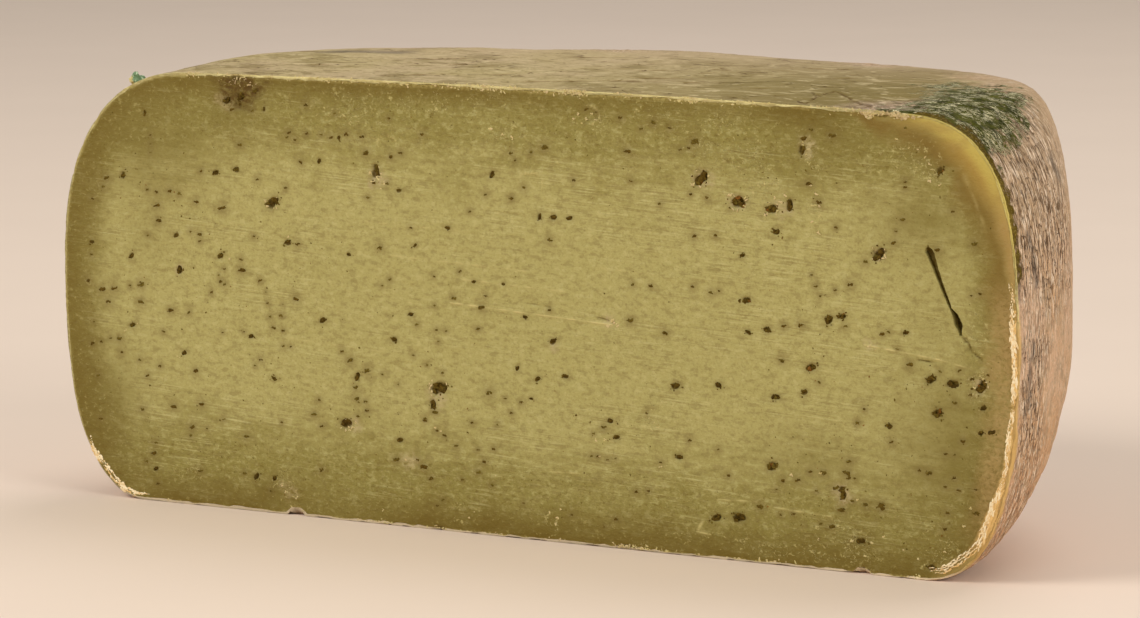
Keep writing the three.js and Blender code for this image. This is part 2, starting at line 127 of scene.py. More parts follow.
# Flecks too small for pits: x, z and length.
SPECKS = [
    (-14.5, 58.5, 0.9), (-32.5, 55.5, 0.9), (-21, 57, 0.6), (-34.5, 54, 0.6), (-21, 50.5, 0.6),
    (-16, 52.5, 1.1), (-8, 53.5, 0.8), (-9, 51, 1.5), (8, 51.5, 0.9), (-20.5, 45, 0.7), (-18, 45, 0.6),
    (-20, 42.5, 0.6), (-10, 46, 0.9), (-25.5, 46, 0.8), (-45, 38.5, 0.9), (-43, 36.5, 1.7),
    (-38.5, 34.5, 1.7), (-41.5, 30.5, 1.2), (-41, 28, 1.4), (-39, 27.5, 1), (-38.5, 25.5, 1),
    (-52.5, 23.5, 1.3), (-51, 27, 0.7), (-41, 24, 0.8), (-34.5, 34, 0.7), (-23, 37, 0.7),
    (-19, 35.5, 0.7), (-26.5, 39, 0.7), (-21, 26.5, 1.2), (-23.5, 25, 0.9), (-11.5, 25, 0.8),
    (-7, 32, 1.7), (-3, 31, 0.7), (1, 30.5, 0.9), (-1.5, 28, 0.8), (21.5, 26.5, 1.2), (-30.5, 32, 0.6),
    (84, 67, 1), (28.5, 58.5, 0.9), (33, 58.5, 0.9), (43, 59, 0.8), (47.5, 58, 1.1), (49.5, 58.5, 0.7),
    (71.5, 63.5, 0.6), (72.5, 61, 0.9), (77, 60.5, 0.7), (73.5, 59, 0.7), (80.5, 62, 1.4),
    (28, 50.5, 1.4), (36.5, 48.5, 1.2), (65, 52, 1.1), (69, 52.5, 1.2), (79.5, 53, 0.9), (88, 52, 1),
    (89.5, 52.5, 0.7), (91.5, 49, 0.8), (64.5, 44.5, 1.3), (73.5, 40.5, 0.8), (84, 35.5, 0.8),
    (82.5, 32.5, 1), (32, 30.5, 0.8), (90.5, 71.5, 0.9), (100.5, 70.5, 1.3), (109, 72.5, 1.5),
    (110.5, 62, 0.9), (108.5, 61.5, 0.7), (94.5, 46, 1.2), (112.5, 45, 0.8), (109, 44, 1), (105, 38.5, 1),
    (108.5, 40.5, 0.8), (101.5, 45, 0.9), (106, 45.5, 0.9), (107, 30.5, 1.1), (90.5, 29, 1),
    (103, 27.5, 0.9), (105, 27.5, 0.8), (99, 23, 1.4), (97, 23.5, 0.8), (105, 22.5, 0.9),
    (103, 20.5, 0.8), (106, 20, 0.9), (110, 20.5, 0.8), (88.5, 14.5, 1.2), (103.5, 15, 0.9),
    (103, 11.5, 1), (110, 15.5, 1.6), (93, 96, 0.8), (93, 84.5, 0.8), (93, 83.5, 0.8), (92.5, 76.5, 1),
    (91, 74, 0.6), (104, 79, 0.8), (17, 96, 0.9), (25.5, 94.5, 1.1), (30.5, 92.5, 0.9), (33.5, 94, 1.2),
    (37.5, 93, 0.8), (43.5, 90.5, 2), (40, 88.5, 0.8), (42, 89, 0.8), (27, 87.5, 1.4), (46.5, 78.5, 0.9),
    (42.5, 79, 0.8), (35, 76.5, 0.8), (28, 81, 0.9), (43.5, 70, 1), (48.5, 70.5, 1), (69.5, 92.5, 1.4),
    (71, 94.5, 1), (76, 93.5, 1.6), (70.5, 83, 1.3), (73, 79, 1.2), (77, 74, 0.9), (-54, 93.5, 1.4),
    (-46.5, 92, 0.8), (-32.5, 91.5, 0.7), (-54, 87, 0.9), (-50, 87, 0.7), (-47.5, 86.5, 1),
    (-43.5, 87.5, 1.2), (-39.5, 87, 1.2), (-38.5, 83.5, 1.4), (-32, 83, 1.2), (-29.5, 84, 1.1),
    (-36.5, 77, 1.3), (-33, 77, 0.9), (-38, 73.5, 0.8), (-24, 88.5, 0.9), (-27, 67.5, 0.7),
    (-35, 62.5, 1.4), (-12, 72, 0.8), (-8, 76, 0.8), (-1.5, 85.5, 1), (-0.5, 84, 0.7), (3.5, 86, 0.9),
    (6.5, 87, 1.6), (1.5, 78, 1.1), (-1.5, 75.5, 1.2), (8, 67, 1.2), (14, 80.5, 0.8), (19.5, 95.5, 0.8),
    (-95.5, 84.5, 0.6), (-95.5, 82.5, 0.6), (-95.5, 80.5, 0.6), (-107.5, 74, 1.5), (-108.5, 72, 1),
    (-96.5, 72, 0.9), (-94, 71.5, 0.9), (-90.5, 72, 1.2), (-88, 71.5, 0.9), (-83.5, 70, 1.1),
    (-94, 68.5, 1.5), (-76.5, 69, 1.6), (-93.5, 65, 1.4), (-82, 77, 0.8), (-67, 76, 0.9),
    (-59.5, 74.5, 0.9), (-71.5, 83.5, 1.2), (-58.5, 87, 1), (-59, 86, 0.8), (-57, 85.5, 0.8),
    (-55.5, 80.5, 1), (-111.5, 69, 0.8), (-67.5, 96, 1.1), (-73.5, 91.5, 1), (-68, 91.5, 0.8),
    (-82.5, 23.5, 1.5), (-90, 22.5, 1.5), (-98.5, 21, 1), (-110, 18, 1), (-85, 18, 1.5), (-81, 18, 0.6),
    (-85.5, 16, 1), (-76.5, 20.5, 0.9), (-70.5, 17, 1.2), (-61, 21, 0.7), (-95, 13.5, 1),
    (-95.5, 11, 1.3), (-97.5, 9, 0.9), (-94.5, 4, 0.9), (-83, 8, 1.2), (-71, 8.5, 1), (-64, 5, 0.8),
    (-112, 56, 0.7), (-85, 63, 0.8), (-82.5, 62.5, 1), (-82.5, 61, 0.8), (-96.5, 61.5, 0.7),
    (-68, 63, 0.7), (-56.5, 62, 1.2), (-71.5, 57.5, 0.9), (-76, 55, 0.8), (-71.5, 55, 1.8),
    (-77.5, 53.5, 0.5), (-77, 52, 1), (-76, 51.5, 0.8), (-66.5, 53, 1), (-79.5, 49.5, 0.9),
    (-57, 49.5, 1.4), (-65, 50.5, 0.4), (-64.5, 48, 0.8), (-60.5, 48, 0.4), (-61, 45.5, 1),
    (-64, 45, 0.7), (-63, 42.5, 0.9), (-60.5, 42, 0.9), (-71, 41, 0.6), (-76.5, 40.5, 0.6),
    (-98.5, 50, 1.7), (-101.5, 49.5, 0.8), (-98.5, 46, 1.6), (-90.5, 44.5, 1.4), (-85.5, 44.5, 1),
    (-106, 48.5, 1.7), (-109, 48, 1.5), (-107.5, 45.5, 1.4), (-113, 50, 1.2), (-111.5, 40.5, 0.6),
    (-104.5, 37, 1.4), (-107, 37, 0.9), (-109.5, 36, 0.8), (-112, 35.5, 1.2), (-104, 34, 0.9),
    (-99, 32.5, 0.8), (-92.5, 39.5, 1), (-93.5, 31.5, 0.8), (-84, 31, 1.2), (-97, 29, 0.9),
    (-110.5, 28, 1), (-66.5, 35, 0.9), (-68, 33.5, 0.6), (-60.5, 38.5, 0.8), (-58.5, 38.5, 0.6),
    (-50.5, 21, 1), (-31, 15, 1.5), (-25.5, 15.5, 1), (-24, 14, 1.6), (-20.5, 22.5, 0.8),
    (-18.5, 21.5, 1.1), (-23.5, 24.5, 0.9), (-15.5, 19.5, 0.9), (-8.5, 16.5, 1), (-10, 14, 1.2),
    (-22, 11.5, 1), (-50.5, 11, 1.2), (-5, 25, 0.7), (-6, 19.5, 1), (-10, 19, 0.7), (19, 25, 0.7),
    (18.5, 20, 0.7), (-19, 7, 0.9), (-20.5, 5.5, 0.8), (1.5, 8, 0.7), (13.5, 6.5, 0.8), (-6.5, 11.5, 1),
    (-14, 12, 0.6), (42.5, 25.5, 0.9), (49.5, 24, 0.6), (35.5, 20, 0.7), (20, 20, 0.8), (22.5, 19.5, 0.8),
    (24.5, 20, 0.6), (29.5, 13, 1), (32.5, 13.5, 0.8), (65, 18.5, 1), (68.5, 19, 1.2), (71.5, 21, 1),
    (74.5, 21, 1.4), (80, 21.5, 1.7), (80.5, 20.5, 1.2), (82, 20.5, 0.8), (77.5, 18, 1.5),
    (79, 13.5, 1.6), (81.5, 15.5, 1), (84.5, 15, 1.3), (88, 15, 1.8), (59.5, 12.5, 1.4), (64.5, 11, 0.7),
    (67.5, 11.5, 1), (63.5, 16.5, 0.6), (73, 17, 0.8), (74, 10, 0.9), (76.5, 9.5, 1.4), (80.5, 24, 1.2),
    (24.5, 6.5, 1), (21.5, 4.5, 0.6), (52, 18.5, 0.8),
]
SPECK_FLATNESS = 0.85

# Specks as fine as dust, scattered evenly and in clusters: x, z, spread across, spread up, count.
EVEN_DUST = 260
DUST_CLUSTERS = [
    (-95, 66, 14, 18, 90), (-80, 20, 22, 10, 50), (-45, 30, 9, 9, 30), (-60, 50, 20, 14, 30),
    (-22, 26, 8, 6, 20), (60, 84, 14, 6, 40), (20, 26, 6, 4, 14), (80, 16, 9, 8, 40),
    (104, 36, 8, 12, 60), (5, 90, 30, 4, 30), (75, 50, 10, 8, 14), (98, 80, 5, 8, 10),
]
DUST_SIZES = (0.25, 0.6)

# Pale crumbs of curd on the face: x, z and size.
CURDS = [
    (-74.5, 57.5, 0.7), (-59, 63.5, 0.6), (-99.5, 41, 0.7), (-103, 39, 1), (-88.5, 34, 0.9),
    (-42.5, 21.5, 1), (-41.5, 22.5, 0.6), (-57, 4, 0.9), (-61, 7, 0.6), (-5.5, 13.5, 0.6), (-21, 23, 0.6),
    (-19.5, 22.5, 0.6), (19.5, 23.5, 0.7), (21.5, 24, 0.7), (20.5, 20, 0.6), (-34.5, 3.2, 0.6),
    (-25.5, 4, 0.6), (35.5, 19, 0.6), (67, 20, 0.7), (74, 21, 0.6), (82.5, 16, 0.6), (73.5, 6.5, 0.5),
    (81.5, 7, 0.7), (86, 7, 0.6), (84.5, 4, 0.7), (89, 8.5, 0.6), (85, 49, 0.9), (103, 6.5, 0.6),
    (97, 4.5, 0.6), (107.5, 12.5, 0.7), (109, 16.5, 0.7), (93.5, 6, 0.5), (91, 93.5, 0.8),
    (92.5, 91.5, 0.6), (94, 91.8, 0.5), (96, 91.5, 0.5), (97.5, 90, 0.5), (98.5, 88.5, 0.6),
    (99, 87.5, 0.4), (98.5, 85, 0.7), (101, 84.5, 0.5), (-35.5, 78, 1), (-37.5, 79, 0.8),
    (-11.5, 51.8, 0.6), (23.5, 50.4, 1), (24.6, 49.6, 0.8), (22.4, 49, 0.9), (52, 79.5, 0.8),
    (43, 81, 0.7), (60.5, 75.5, 0.7), (-6.5, 90.5, 0.8), (-3.5, 89.5, 0.6), (-1, 89, 0.7), (10, 5.5, 0.8),
    (-61, 6.7, 0.7), (-60, 5.2, 0.9), (-59, 6.4, 0.6), (-58, 4.3, 0.7), (-57.3, 8, 0.5),
    (-28.5, 15.2, 0.6), (-26.5, 15, 0.5), (-14.5, 5.5, 0.5), (-12.5, 3.5, 0.6), (-11, 5, 0.5),
    (8, 6.5, 0.6), (9.5, 4.2, 0.7), (10.8, 7.5, 0.5), (24, 1, 0.6), (26, 0.9, 0.7), (28, 1.1, 0.5),
    (30, 0.9, 0.6), (15, 95, 0.6), (17, 94, 0.7), (18.5, 95.2, 0.6), (16, 93, 0.5), (19.5, 94, 0.5),
    (14, 93.8, 0.5), (69.1, 91.4, 0.8), (70.5, 90.4, 0.9), (70.1, 89.2, 0.7), (71.4, 82.5, 0.6),
    (72.6, 80.8, 0.7), (73.3, 78.3, 0.6), (71.5, 74.8, 0.6), (73, 72.6, 0.7), (62.5, 79.5, 0.8),
    (64, 78.6, 0.9), (65, 80, 0.6), (-36.5, 77.2, 0.9), (-34, 77.2, 0.8), (-34.6, 75.8, 0.6),
]

# Pieces torn out of the edges of the face: x, z, length, depth.
EDGE_CHIPS = [
    (-57.4, 0.4, 3.6, 1.6), (84, 0.2, 4, 1.4), (-20, 0.3, 5, 0.8), (27, 0.3, 6, 0.8), (88, 98.6, 5, 1.2),
    (91.5, 98.4, 3, 1), (14, 99.9, 5, 0.9), (-73, 98.8, 3, 1.2),
]
# Notches torn out of the bottom edge: x, half width and height.
NOTCHES = [(-57.2, 2.6, 1.4), (84, 2.4, 0.9)]
# The broken part of the upper right edge: its middle and how far it reaches, in x.
BROKEN_AT = 89
BROKEN_REACH = 4.4
# A bit of herb on the left shoulder: x, y behind the cut, z.
HERB_CRUMB = (-101, 3.2, 96.6)
HERB_CRUMB_SIZE = 2.8

# Long scratches that the knife left: x, z of both ends, and strength.
SCRATCHES = [
    (-16.8, 51.4, 23.2, 49.3, 1), (84.2, 49.3, 101.6, 47.4, 1), (-14, 56.8, 12, 55.8, 0.5),
    (100.5, 47.6, 108.5, 46, 0.5), (49.5, 13, 58.5, 13.4, 0.7), (63, 12.5, 76.5, 11.7, 0.7),
    (-40, 68.2, -12, 67.4, 0.3), (8.3, 15.6, 16.8, 15.9, 0.6), (44.3, 5.5, 47.5, 5.2, 0.9),
    (44.5, 5.5, 45.8, 8, 0.8), (-60, 40.4, -34, 39.2, 0.3), (106.3, 87, 108.6, 82.6, 0.25),
    (108.6, 82.6, 111.7, 75, 0.25), (-32, 61, -8, 60, 0.4), (-16, 60.4, 4, 59.6, 0.4),
    (20, 61.6, 34, 61, 0.3),
]
SCRATCH_WIDTH = 0.22
SCRATCH_HEIGHT = 0.08
# Places where the curd tore in fine curls: x, z, half width, half height.
CURLS = [
    (16.7, 94.6, 6, 3.6), (50, 91.5, 14, 5.5), (-3, 89.8, 6, 3), (-13.5, 4.5, 5, 3.6), (9, 5.5, 4, 5),
    (-45, 93, 15, 5), (30, 96, 12, 2.4), (79, 8, 10, 5), (101, 7, 7, 5), (96, 89, 6, 5), (88, 90, 6, 5.5),
    (110, 50, 3, 14), (58, 84, 8, 5), (62, 4, 30, 2.6), (-20, 96, 26, 2.4), (34, 30, 6, 4),
    (-60, 6, 4, 4.5), (71.8, 82, 3, 13), (-24, 94.5, 7, 2.6), (-11.5, 93.6, 3, 2.4), (27, 1.4, 6, 2),
    (-84, 7.5, 6, 2),
]
# Flakes of curd with a torn outline: x, z, half width, half height.
FLAKES = [(3.2, 79.3, 3.2, 2), (17.5, 95, 3, 2), (-33, 86, 2.2, 1.4)]
# A bruise under the top edge: x, z, half width, half height.
BRUISE = (-71, 96.4, 7.6, 5.2)
# Places round the larger flecks where the paste is whitish: x, z and reach.
HAZES = [
    (-35.5, 78, 2.8), (45.5, 82.5, 3), (53.5, 78, 2.6), (64.6, 77.4, 3), (-20.5, 30, 3), (87, 69, 1.8),
    (70.4, 90.4, 2.6), (22.5, 50, 2), (-41.5, 22, 2.2), (85, 49.5, 1.8), (111, 42.5, 2.4), (-59, 5.5, 3),
    (79.5, 17, 3), (9, 43.5, 1.6), (-88, 54, 1.4), (-27.5, 15.2, 2.4), (-76, 93.5, 2.6),
]
# Soft dark places in the paste: x, z, half width, half height and strength.
SHADES = [
    (-97, 84, 20, 16, 0.75), (-114, 57, 11, 24, 0.35), (-110, 22, 12, 16, 0.8), (76, 93, 16, 8, 0.6),
    (106, 26, 17, 22, 0.85), (110, 78, 9, 12, 0.5), (99, 91, 12, 8, 0.6), (-75, 90, 14, 7, 0.6),
    (104, 54, 12, 20, 0.25), (72, 24, 14, 6, 0.4), (-65, 5, 4.5, 3.4, 0.85), (98, 76, 13, 10, 0.65),
    (-97, 64, 9, 12, 0.3), (-46, 96, 18, 5, 0.35), (96, 36, 8, 10, 0.4),
]
# The golden band inside the upper right edge: degrees about the end's middle and width.
GOLD_WIDTH = np.array([(6, 0.5), (20, 2.4), (30, 4), (41, 6.6), (50, 6.8), (60, 4), (70, 2.6), (80, 0)])

# Creases in the top, sunk and painted dark as shade in them, each a run of places x, y behind the cut.
CREASES = [
    [(68, 3), (67, 8), (64.5, 18), (64.5, 26), (70.5, 19), (77.5, 9.5), (83, 5)],
    [(2, 52), (5, 55)], [(8, 41), (14, 44)], [(23, 41), (26, 44)], [(21, 51), (27, 50)],
    [(22, 56), (25, 52)], [(28, 24.5), (31, 26.5)], [(2, 14), (11, 18)], [(-5, 10), (1, 13.5)],
    [(13, 19), (22, 23)], [(14, 26), (24, 31)], [(46.5, 20), (49.5, 21.5)], [(57, 12), (60, 13)],
    [(53, 46), (58, 51)], [(-38, 36), (-33, 39)], [(-30, 33), (-25, 36)], [(-18.5, 22), (-15, 24)],
    [(-17, 12), (-14.5, 13)], [(-68, 24), (-63, 26)], [(-40, 9), (-28, 16)], [(-20, 60), (-8, 66)],
    [(40, 62), (50, 66)], [(-50, 42), (-40, 47)],
]
CREASE_WIDTH = 0.7
CREASE_NARROWING = 2.6  # how much narrower they are in x than in y

GREEN_FROM = 80  # distance from the axis where the green begins on the top
GREEN_FADES = (30, 48)  # degrees round from the cut

# Mould on the rind: x, y, z of both ends and width. The smears are brown and the spots are grey.
SMEARS = [(-68, 0, 99.5, -74, 10, 99.6, 3.2), (-74, 10, 99.6, -86, 28, 99.7, 2.4)]
SPOTS = [
    (111.6, 36, 86.5, 111.8, 38, 82.5, 2), (119, 2.5, 70, 119, 2, 61, 1.1),
    (-78, 53, 100, -62, 55.5, 100.4, 3.4), (117.4, 9, 74, 118.6, 12, 64, 1.3),
    (118.9, 8, 50, 118.6, 7, 38, 1.2),
]

# The cut's outline goes round in these parts
AT_BASE, AT_RIGHT, AT_TOP, AT_LEFT = range(4)

# Crumbs along the edges of the face: the part of the outline, count, smallest and largest.
EDGE_CRUMBS = [(AT_TOP, 1300, 0.18, 0.5), (AT_BASE, 420, 0.2, 0.5)]
BROKEN_CRUMBS = 95  # at the broken part of the upper right edge
BRUISE_CRUMBS = 70
CURD_BITS = 3  # in each of the pale crumbs of curd
CRUMBLED_FROM = 2.9  # flecks longer than this have crumbs round them
# Torn ridges: the part of the outline, from and to in degrees, thickness, gap between their rows.
RIDGES = [(AT_RIGHT, -58, 17, 0.4, 0.25), (AT_LEFT, -62, -40, 0.8, 0.42)]
RIDGE_ROWS = 3
RIDGE_STEP = 0.5

# The rind at the cut
RIM_THICKNESS = (0.5, 0.38, 0.5, 0.54)  # at the base, the right end, the top and the left end
RIM_PROUD = 0.03  # how far it stands in front of the paste
PASTE_TUCK = 0.25  # how far the paste reaches under the rim
PASTE_SUNK = 0.12  # and how much deeper it lies there
HIDDEN_RIM = 1  # how deep the rind's inside lies away from the cut
HIDDEN_TUCK = 1.6  # and how deep the paste's hidden body lies
STRIP_FROM = 66  # above this height the right end has a bare dark strip beside the cut

# Fineness of the meshes, as the spacing of their points
FACE_SPACING = 0.62
RIND_FINE = 0.52
RIND_COARSE = 1.35
FINE_UNTIL = 0.16  # share of the way round, from the right end of the cut
TOP_SPACING = 0.95
HIDDEN_SPACING = (6, 6, 6)  # on the hidden bodies' side and top
CUT_STEPS = {"base": 320, "right": 206, "top": 288, "left": 206}
AROUND_STEPS = 360
ROW_GAP = 0.866  # of the spacing, in a triangular lattice
UNEVENNESS = 0.16  # of the spacing
PROFILE_STEPS = 1201
# Extra points where there is fine detail: how far apart, in which rows or rings, and how close at least
SLIT_STEP, SLIT_ROWS = 0.45, (0.07, -0.07)
SCRATCH_STEP, SCRATCH_ROWS = 0.5, (-0.3, 0, 0.3)
CREASE_STEP, CREASE_ROWS = 0.45, (-1.2, -0.6, 0, 0.6, 1.2)
PIT_RINGS = (0.4, 0.75, 1.05, 1.35)
FLAKE_RINGS = (0.86, 0.95, 1.04, 1.13)
FACE_GAP = 0.12
CREASE_GAP = 0.25

# The rind's side, as a sheet: rows of its profile, its length from foot to shoulder and half its round
ROWS = 201
SHARES = np.linspace(0, 1, ROWS)
SIDE_LENGTH = 125
HALF_ROUND = np.pi * WHEEL_RADIUS


def smooth(value, low, high):
    """A smooth step from 0 at low to 1 at high."""
    share = np.clip((value - low) / (high - low), 0, 1)
    return share * share * (3 - 2 * share)


def band(value, start, full, fading, end):
    """A value that rises from start to full and falls from fading to end."""
    return smooth(value, start, full) * (1 - smooth(value, fading, end))


HASH_STEPS = np.array([374761393, 668265263, 1442695041])


def hashed(cell, seed):
    """A fixed value from -1 to 1 for each row of whole numbers."""
    mixed = (cell * HASH_STEPS[: cell.shape[1]]).sum(axis=1) + seed * 97531
    mixed = (mixed ^ (mixed >> 13)) * 1103515245
    return ((mixed ^ (mixed >> 16)) & 0xFFFF) / 0x7FFF - 1


def noise(points, size, seed):
    """Smooth noise from -1 to 1 at rows of coordinates, with lumps of a size, or of one for each axis."""
    scaled = points / size
    cell = np.floor(scaled).astype(np.int64)
    ease = scaled - cell
    ease = ease * ease * (3 - 2 * ease)
    total = np.zeros(len(points))
    for corner in np.ndindex((2,) * points.shape[1]):
        weight = np.prod(np.where(corner, ease, 1 - ease), axis=1)
        total += weight * hashed(cell + corner, seed)
    return total


def along(table, at):
    """The values of a table's stations at some places, with a smooth step from each to the next."""
    places = table[:, 0]
    at = np.clip(at, places[0], places[-1])
    after = np.clip(np.searchsorted(places, at), 1, len(places) - 1)
    share = (at - places[after - 1]) / (places[after] - places[after - 1])
    share = (share * share * (3 - 2 * share))[..., None]
    return table[after - 1, 1:] * (1 - share) + table[after, 1:] * share


def profile(direction):
    """The rind's reach from the axis and its height, at equal steps from its foot to its shoulder."""
    belly, swell, shoulder, shoulder_form, foot, foot_form = along(RIND, np.array(direction))
    step = np.linspace(-1, 1, PROFILE_STEPS)
    turn = abs(step) * np.pi / 2
    upper = step >= 0
    power = 2 / np.where(upper, shoulder_form, foot_form)
    drawn = np.where(upper, shoulder, foot) * (1 - np.cos(turn).clip(0) ** power)
    way = np.sin(turn) ** power
    height = np.where(upper, belly + (WHEEL_HEIGHT - belly) * way, belly * (1 - way))
    reach = WHEEL_RADIUS + swell - drawn
    run = np.concatenate([[0], np.hypot(np.diff(reach), np.diff(height)).cumsum()])
    return np.interp(SHARES * run[-1], run, reach), np.interp(SHARES * run[-1], run, height)


DIRECTIONS = np.arange(181)
REACHES, HEIGHTS = np.array([profile(direction) for direction in DIRECTIONS]).transpose(1, 0, 2)


def broken_depth(direction, breaks):
    """How far the edge is broken back at each row of one end of the cut."""
    turn = np.arctan2(HEIGHTS[direction] - END_MIDDLE[1], REACHES[direction] - END_MIDDLE[0])
    return along(breaks, np.degrees(turn))[:, 1]


RIGHT_DEPTH, LEFT_DEPTH = broken_depth(0, RIGHT_EDGE), broken_depth(180, LEFT_EDGE)


def between(table, turned, risen):
    """A value from a table of directions by rows, at shares of the way round and up."""
    column = np.clip(turned, 0, 1) * (len(table) - 1.0001)
    row = np.clip(risen, 0, 1) * (ROWS - 1.0001)
    c, r = column.astype(int), row.astype(int)
    p, q = column - c, row - r
    low = table[c, r] * (1 - p) + table[c + 1, r] * p
    high = table[c, r + 1] * (1 - p) + table[c + 1, r + 1] * p
    return low * (1 - q) + high * q


def rind_wave(degrees, height):
    """The height of the low waves in the rind, which fade out at the cut and the base."""
    from_cut = np.minimum(degrees, 180 - degrees)
    fade = smooth(from_cut, 0, WAVES_FROM_CUT) * smooth(height, 0, WAVES_FROM_BASE)
    return fade * sum(
        size * np.sin(across * np.radians(degrees) + start) * np.cos(up * height / WHEEL_HEIGHT + start)
        for size, across, up, start in RIND_WAVES
    )


def leaned(x, y, height):
    """Places with the top's dome and lean, which fade out towards the base."""
    out = (x * x + y * y) / WHEEL_RADIUS ** 2
    return np.column_stack([x, y, height + height / WHEEL_HEIGHT * (TOP_LEAN * y - TOP_DOME * out)])


def rind_at(turned, risen):
    """Places on the smooth rind, by shares of the way round from the right end of the cut and up."""
    reach, height = between(REACHES, turned, risen), between(HEIGHTS, turned, risen)
    first = np.arcsin(np.interp(risen, SHARES, RIGHT_DEPTH) / reach)
    last = np.pi - np.arcsin(np.interp(risen, SHARES, LEFT_DEPTH) / reach)
    direction = first + (last - first) * turned
    out = reach + rind_wave(np.degrees(direction), height)
    return leaned(out * np.cos(direction), out * np.sin(direction), height)


def tree_of(points):
    tree = KDTree(len(points))
    for index, (a, b) in enumerate(points):
        tree.insert((a, b, 0), index)
    tree.balance()
    return tree


def nearest(points, targets):
    """The closest target to each point of a plane, and how far it is."""
    tree = tree_of(targets)
    found = [tree.find((a, b, 0)) for a, b in points]
    return np.array([hit[1] for hit in found]), np.array([hit[2] for hit in found])


def lattice(low, high, spacing):
    """Points of a slightly uneven triangular lattice over a box."""
    rows = np.arange(low[1], high[1], spacing * ROW_GAP)
    across, up = np.meshgrid(np.arange(low[0], high[0], spacing), rows)
    across[1::2] += spacing / 2
    points = np.column_stack([across.ravel(), up.ravel()])
    return points + random.uniform(-UNEVENNESS, UNEVENNESS, points.shape) * spacing


def triangulate(outline, inside, loops=()):
    """Triangles that fill a flat outline, through the points inside it and along any loops of them."""
    points = np.vstack([outline, inside])
    edges = [(i, (i + 1) % len(outline)) for i in range(len(outline))]
    for loop in loops:
        edges += [(len(outline) + a, len(outline) + b) for a, b in zip(loop, np.roll(loop, -1))]
    _, _, faces, origins, _, _ = delaunay_2d_cdt([Vector(p) for p in points], edges, [], 1, 1e-7)
    origin = np.array([source[0] for source in origins])
    triangles = origin[np.array(faces)]
    a, b, c = points[triangles].transpose(1, 0, 2)
    turned_back = np.cross(b - a, c - a) < 0
    triangles[turned_back] = triangles[turned_back][:, ::-1]
    return triangles


def notched(x):
    """How far the bottom edge of the cut is torn up at some places along it."""
    return sum(up * (1 - smooth(abs(x - middle), 0.3 * half, half)) for middle, half, up in NOTCHES)


def directed(x, y):
    return np.arctan2(y, x) / np.pi


def flat_side(name, edge, spacing, on_top):
    """The top or the base inside its edge: places, triangles, how far they are round and up, and the
    places along the cut."""
    top = name == "top"
    edge_turn, edge_reach = np.linspace(0, 1, AROUND_STEPS + 1), np.hypot(edge[:, 0], edge[:, 1])
    cut_x = np.linspace(edge[-1, 0], edge[0, 0], CUT_STEPS[name] + 1)[1:-1]
    outline = np.vstack([edge[:, :2], np.column_stack([cut_x, cut_x * 0])])

    def inwards(points):
        return np.interp(directed(*points.T), edge_turn, edge_reach) - np.hypot(*points.T)

    inner = lattice((edge[:, 0].min(), spacing * 0.6), (edge[:, 0].max(), edge[:, 1].max()), spacing)
    inner = inner[inwards(inner) > spacing * 0.5]
    if top and on_top is not None:
        inner = np.vstack([inner[nearest(inner, on_top)[1] > spacing * 0.35], on_top])
    flat = np.vstack([outline, inner])
    places = leaned(*flat.T, WHEEL_HEIGHT if top else 0)
    places[: len(edge)] = edge
    along_cut = slice(len(edge), len(outline))
    places[along_cut, 2] += 0 if top else notched(cut_x)
    triangles = triangulate(outline, inner)
    up = SIDE_LENGTH + inwards(flat) if top else -inwards(flat)
    travel = np.column_stack([directed(*flat.T) * HALF_ROUND, up])
    return places, triangles if top else triangles[:, ::-1], travel, places[along_cut]


def wheel_skin(fine, coarse, top, on_top=None):
    """The outside of the half wheel without its cut, with points at these spacings and any on its top.

    Gives its places, its triangles, the loop of points round the cut, and how far each place is
    round the wheel and up the rind, both in mm along the surface."""
    around = np.linspace(0, 1, AROUND_STEPS + 1)
    right, left = (np.linspace(0, 1, CUT_STEPS[side] + 1) for side in ("right", "left"))
    outline = np.vstack([
        np.column_stack([around, around * 0]),
        np.column_stack([left * 0 + 1, left])[1:-1],
        np.column_stack([around[::-1], around * 0 + 1]),
        np.column_stack([right * 0, right[::-1]])[1:-1],
    ])
    scale = np.array([HALF_ROUND, SIDE_LENGTH])
    split = FINE_UNTIL * HALF_ROUND
    inside = np.vstack([
        lattice((fine * 0.6, fine * 0.6), (split, SIDE_LENGTH - fine * 0.5), fine),
        lattice((split + coarse * 0.4, coarse * 0.6), scale - coarse * 0.5, coarse),
    ])
    shares = np.vstack([outline, inside / scale])
    places, travels = [rind_at(*shares.T)], [shares * scale]
    triangles = [triangulate(outline * scale, inside)]

    rim, foot = rind_at(around, around * 0 + 1), rind_at(around, around * 0)
    cuts = []
    for name, edge, spacing in (("top", rim, top), ("base", foot, max(3, top))):
        *found, cut = flat_side(name, edge, spacing, on_top)
        found[1] = found[1] + sum(map(len, places))
        for whole, part in zip((places, triangles, travels), found):
            whole.append(part)
        cuts.append(cut)

    loop = np.vstack([
        foot[-1:], cuts[1], rind_at(right * 0, right),
        cuts[0][::-1], rind_at(left * 0 + 1, left[::-1])[:-1],
    ])
    stacked = np.vstack(places + [loop])
    _, first, inverse = np.unique(np.round(stacked, 4), axis=0, return_index=True, return_inverse=True)
    inverse = inverse.ravel()
    travels = np.vstack(travels + [np.zeros((len(loop), 2))])
    return stacked[first], inverse[np.vstack(triangles)], inverse[-len(loop):], travels[first]


def facing(places, triangles):
    """The direction in which each place of a mesh looks out."""
    a, b, c = places[triangles].transpose(1, 0, 2)
    across = np.cross(b - a, c - a)
    total = np.stack([
        sum(np.bincount(triangles[:, corner], across[:, axis], len(places)) for corner in range(3))
        for axis in range(3)
    ], axis=1)
    return total / np.linalg.norm(total, axis=1, keepdims=True)


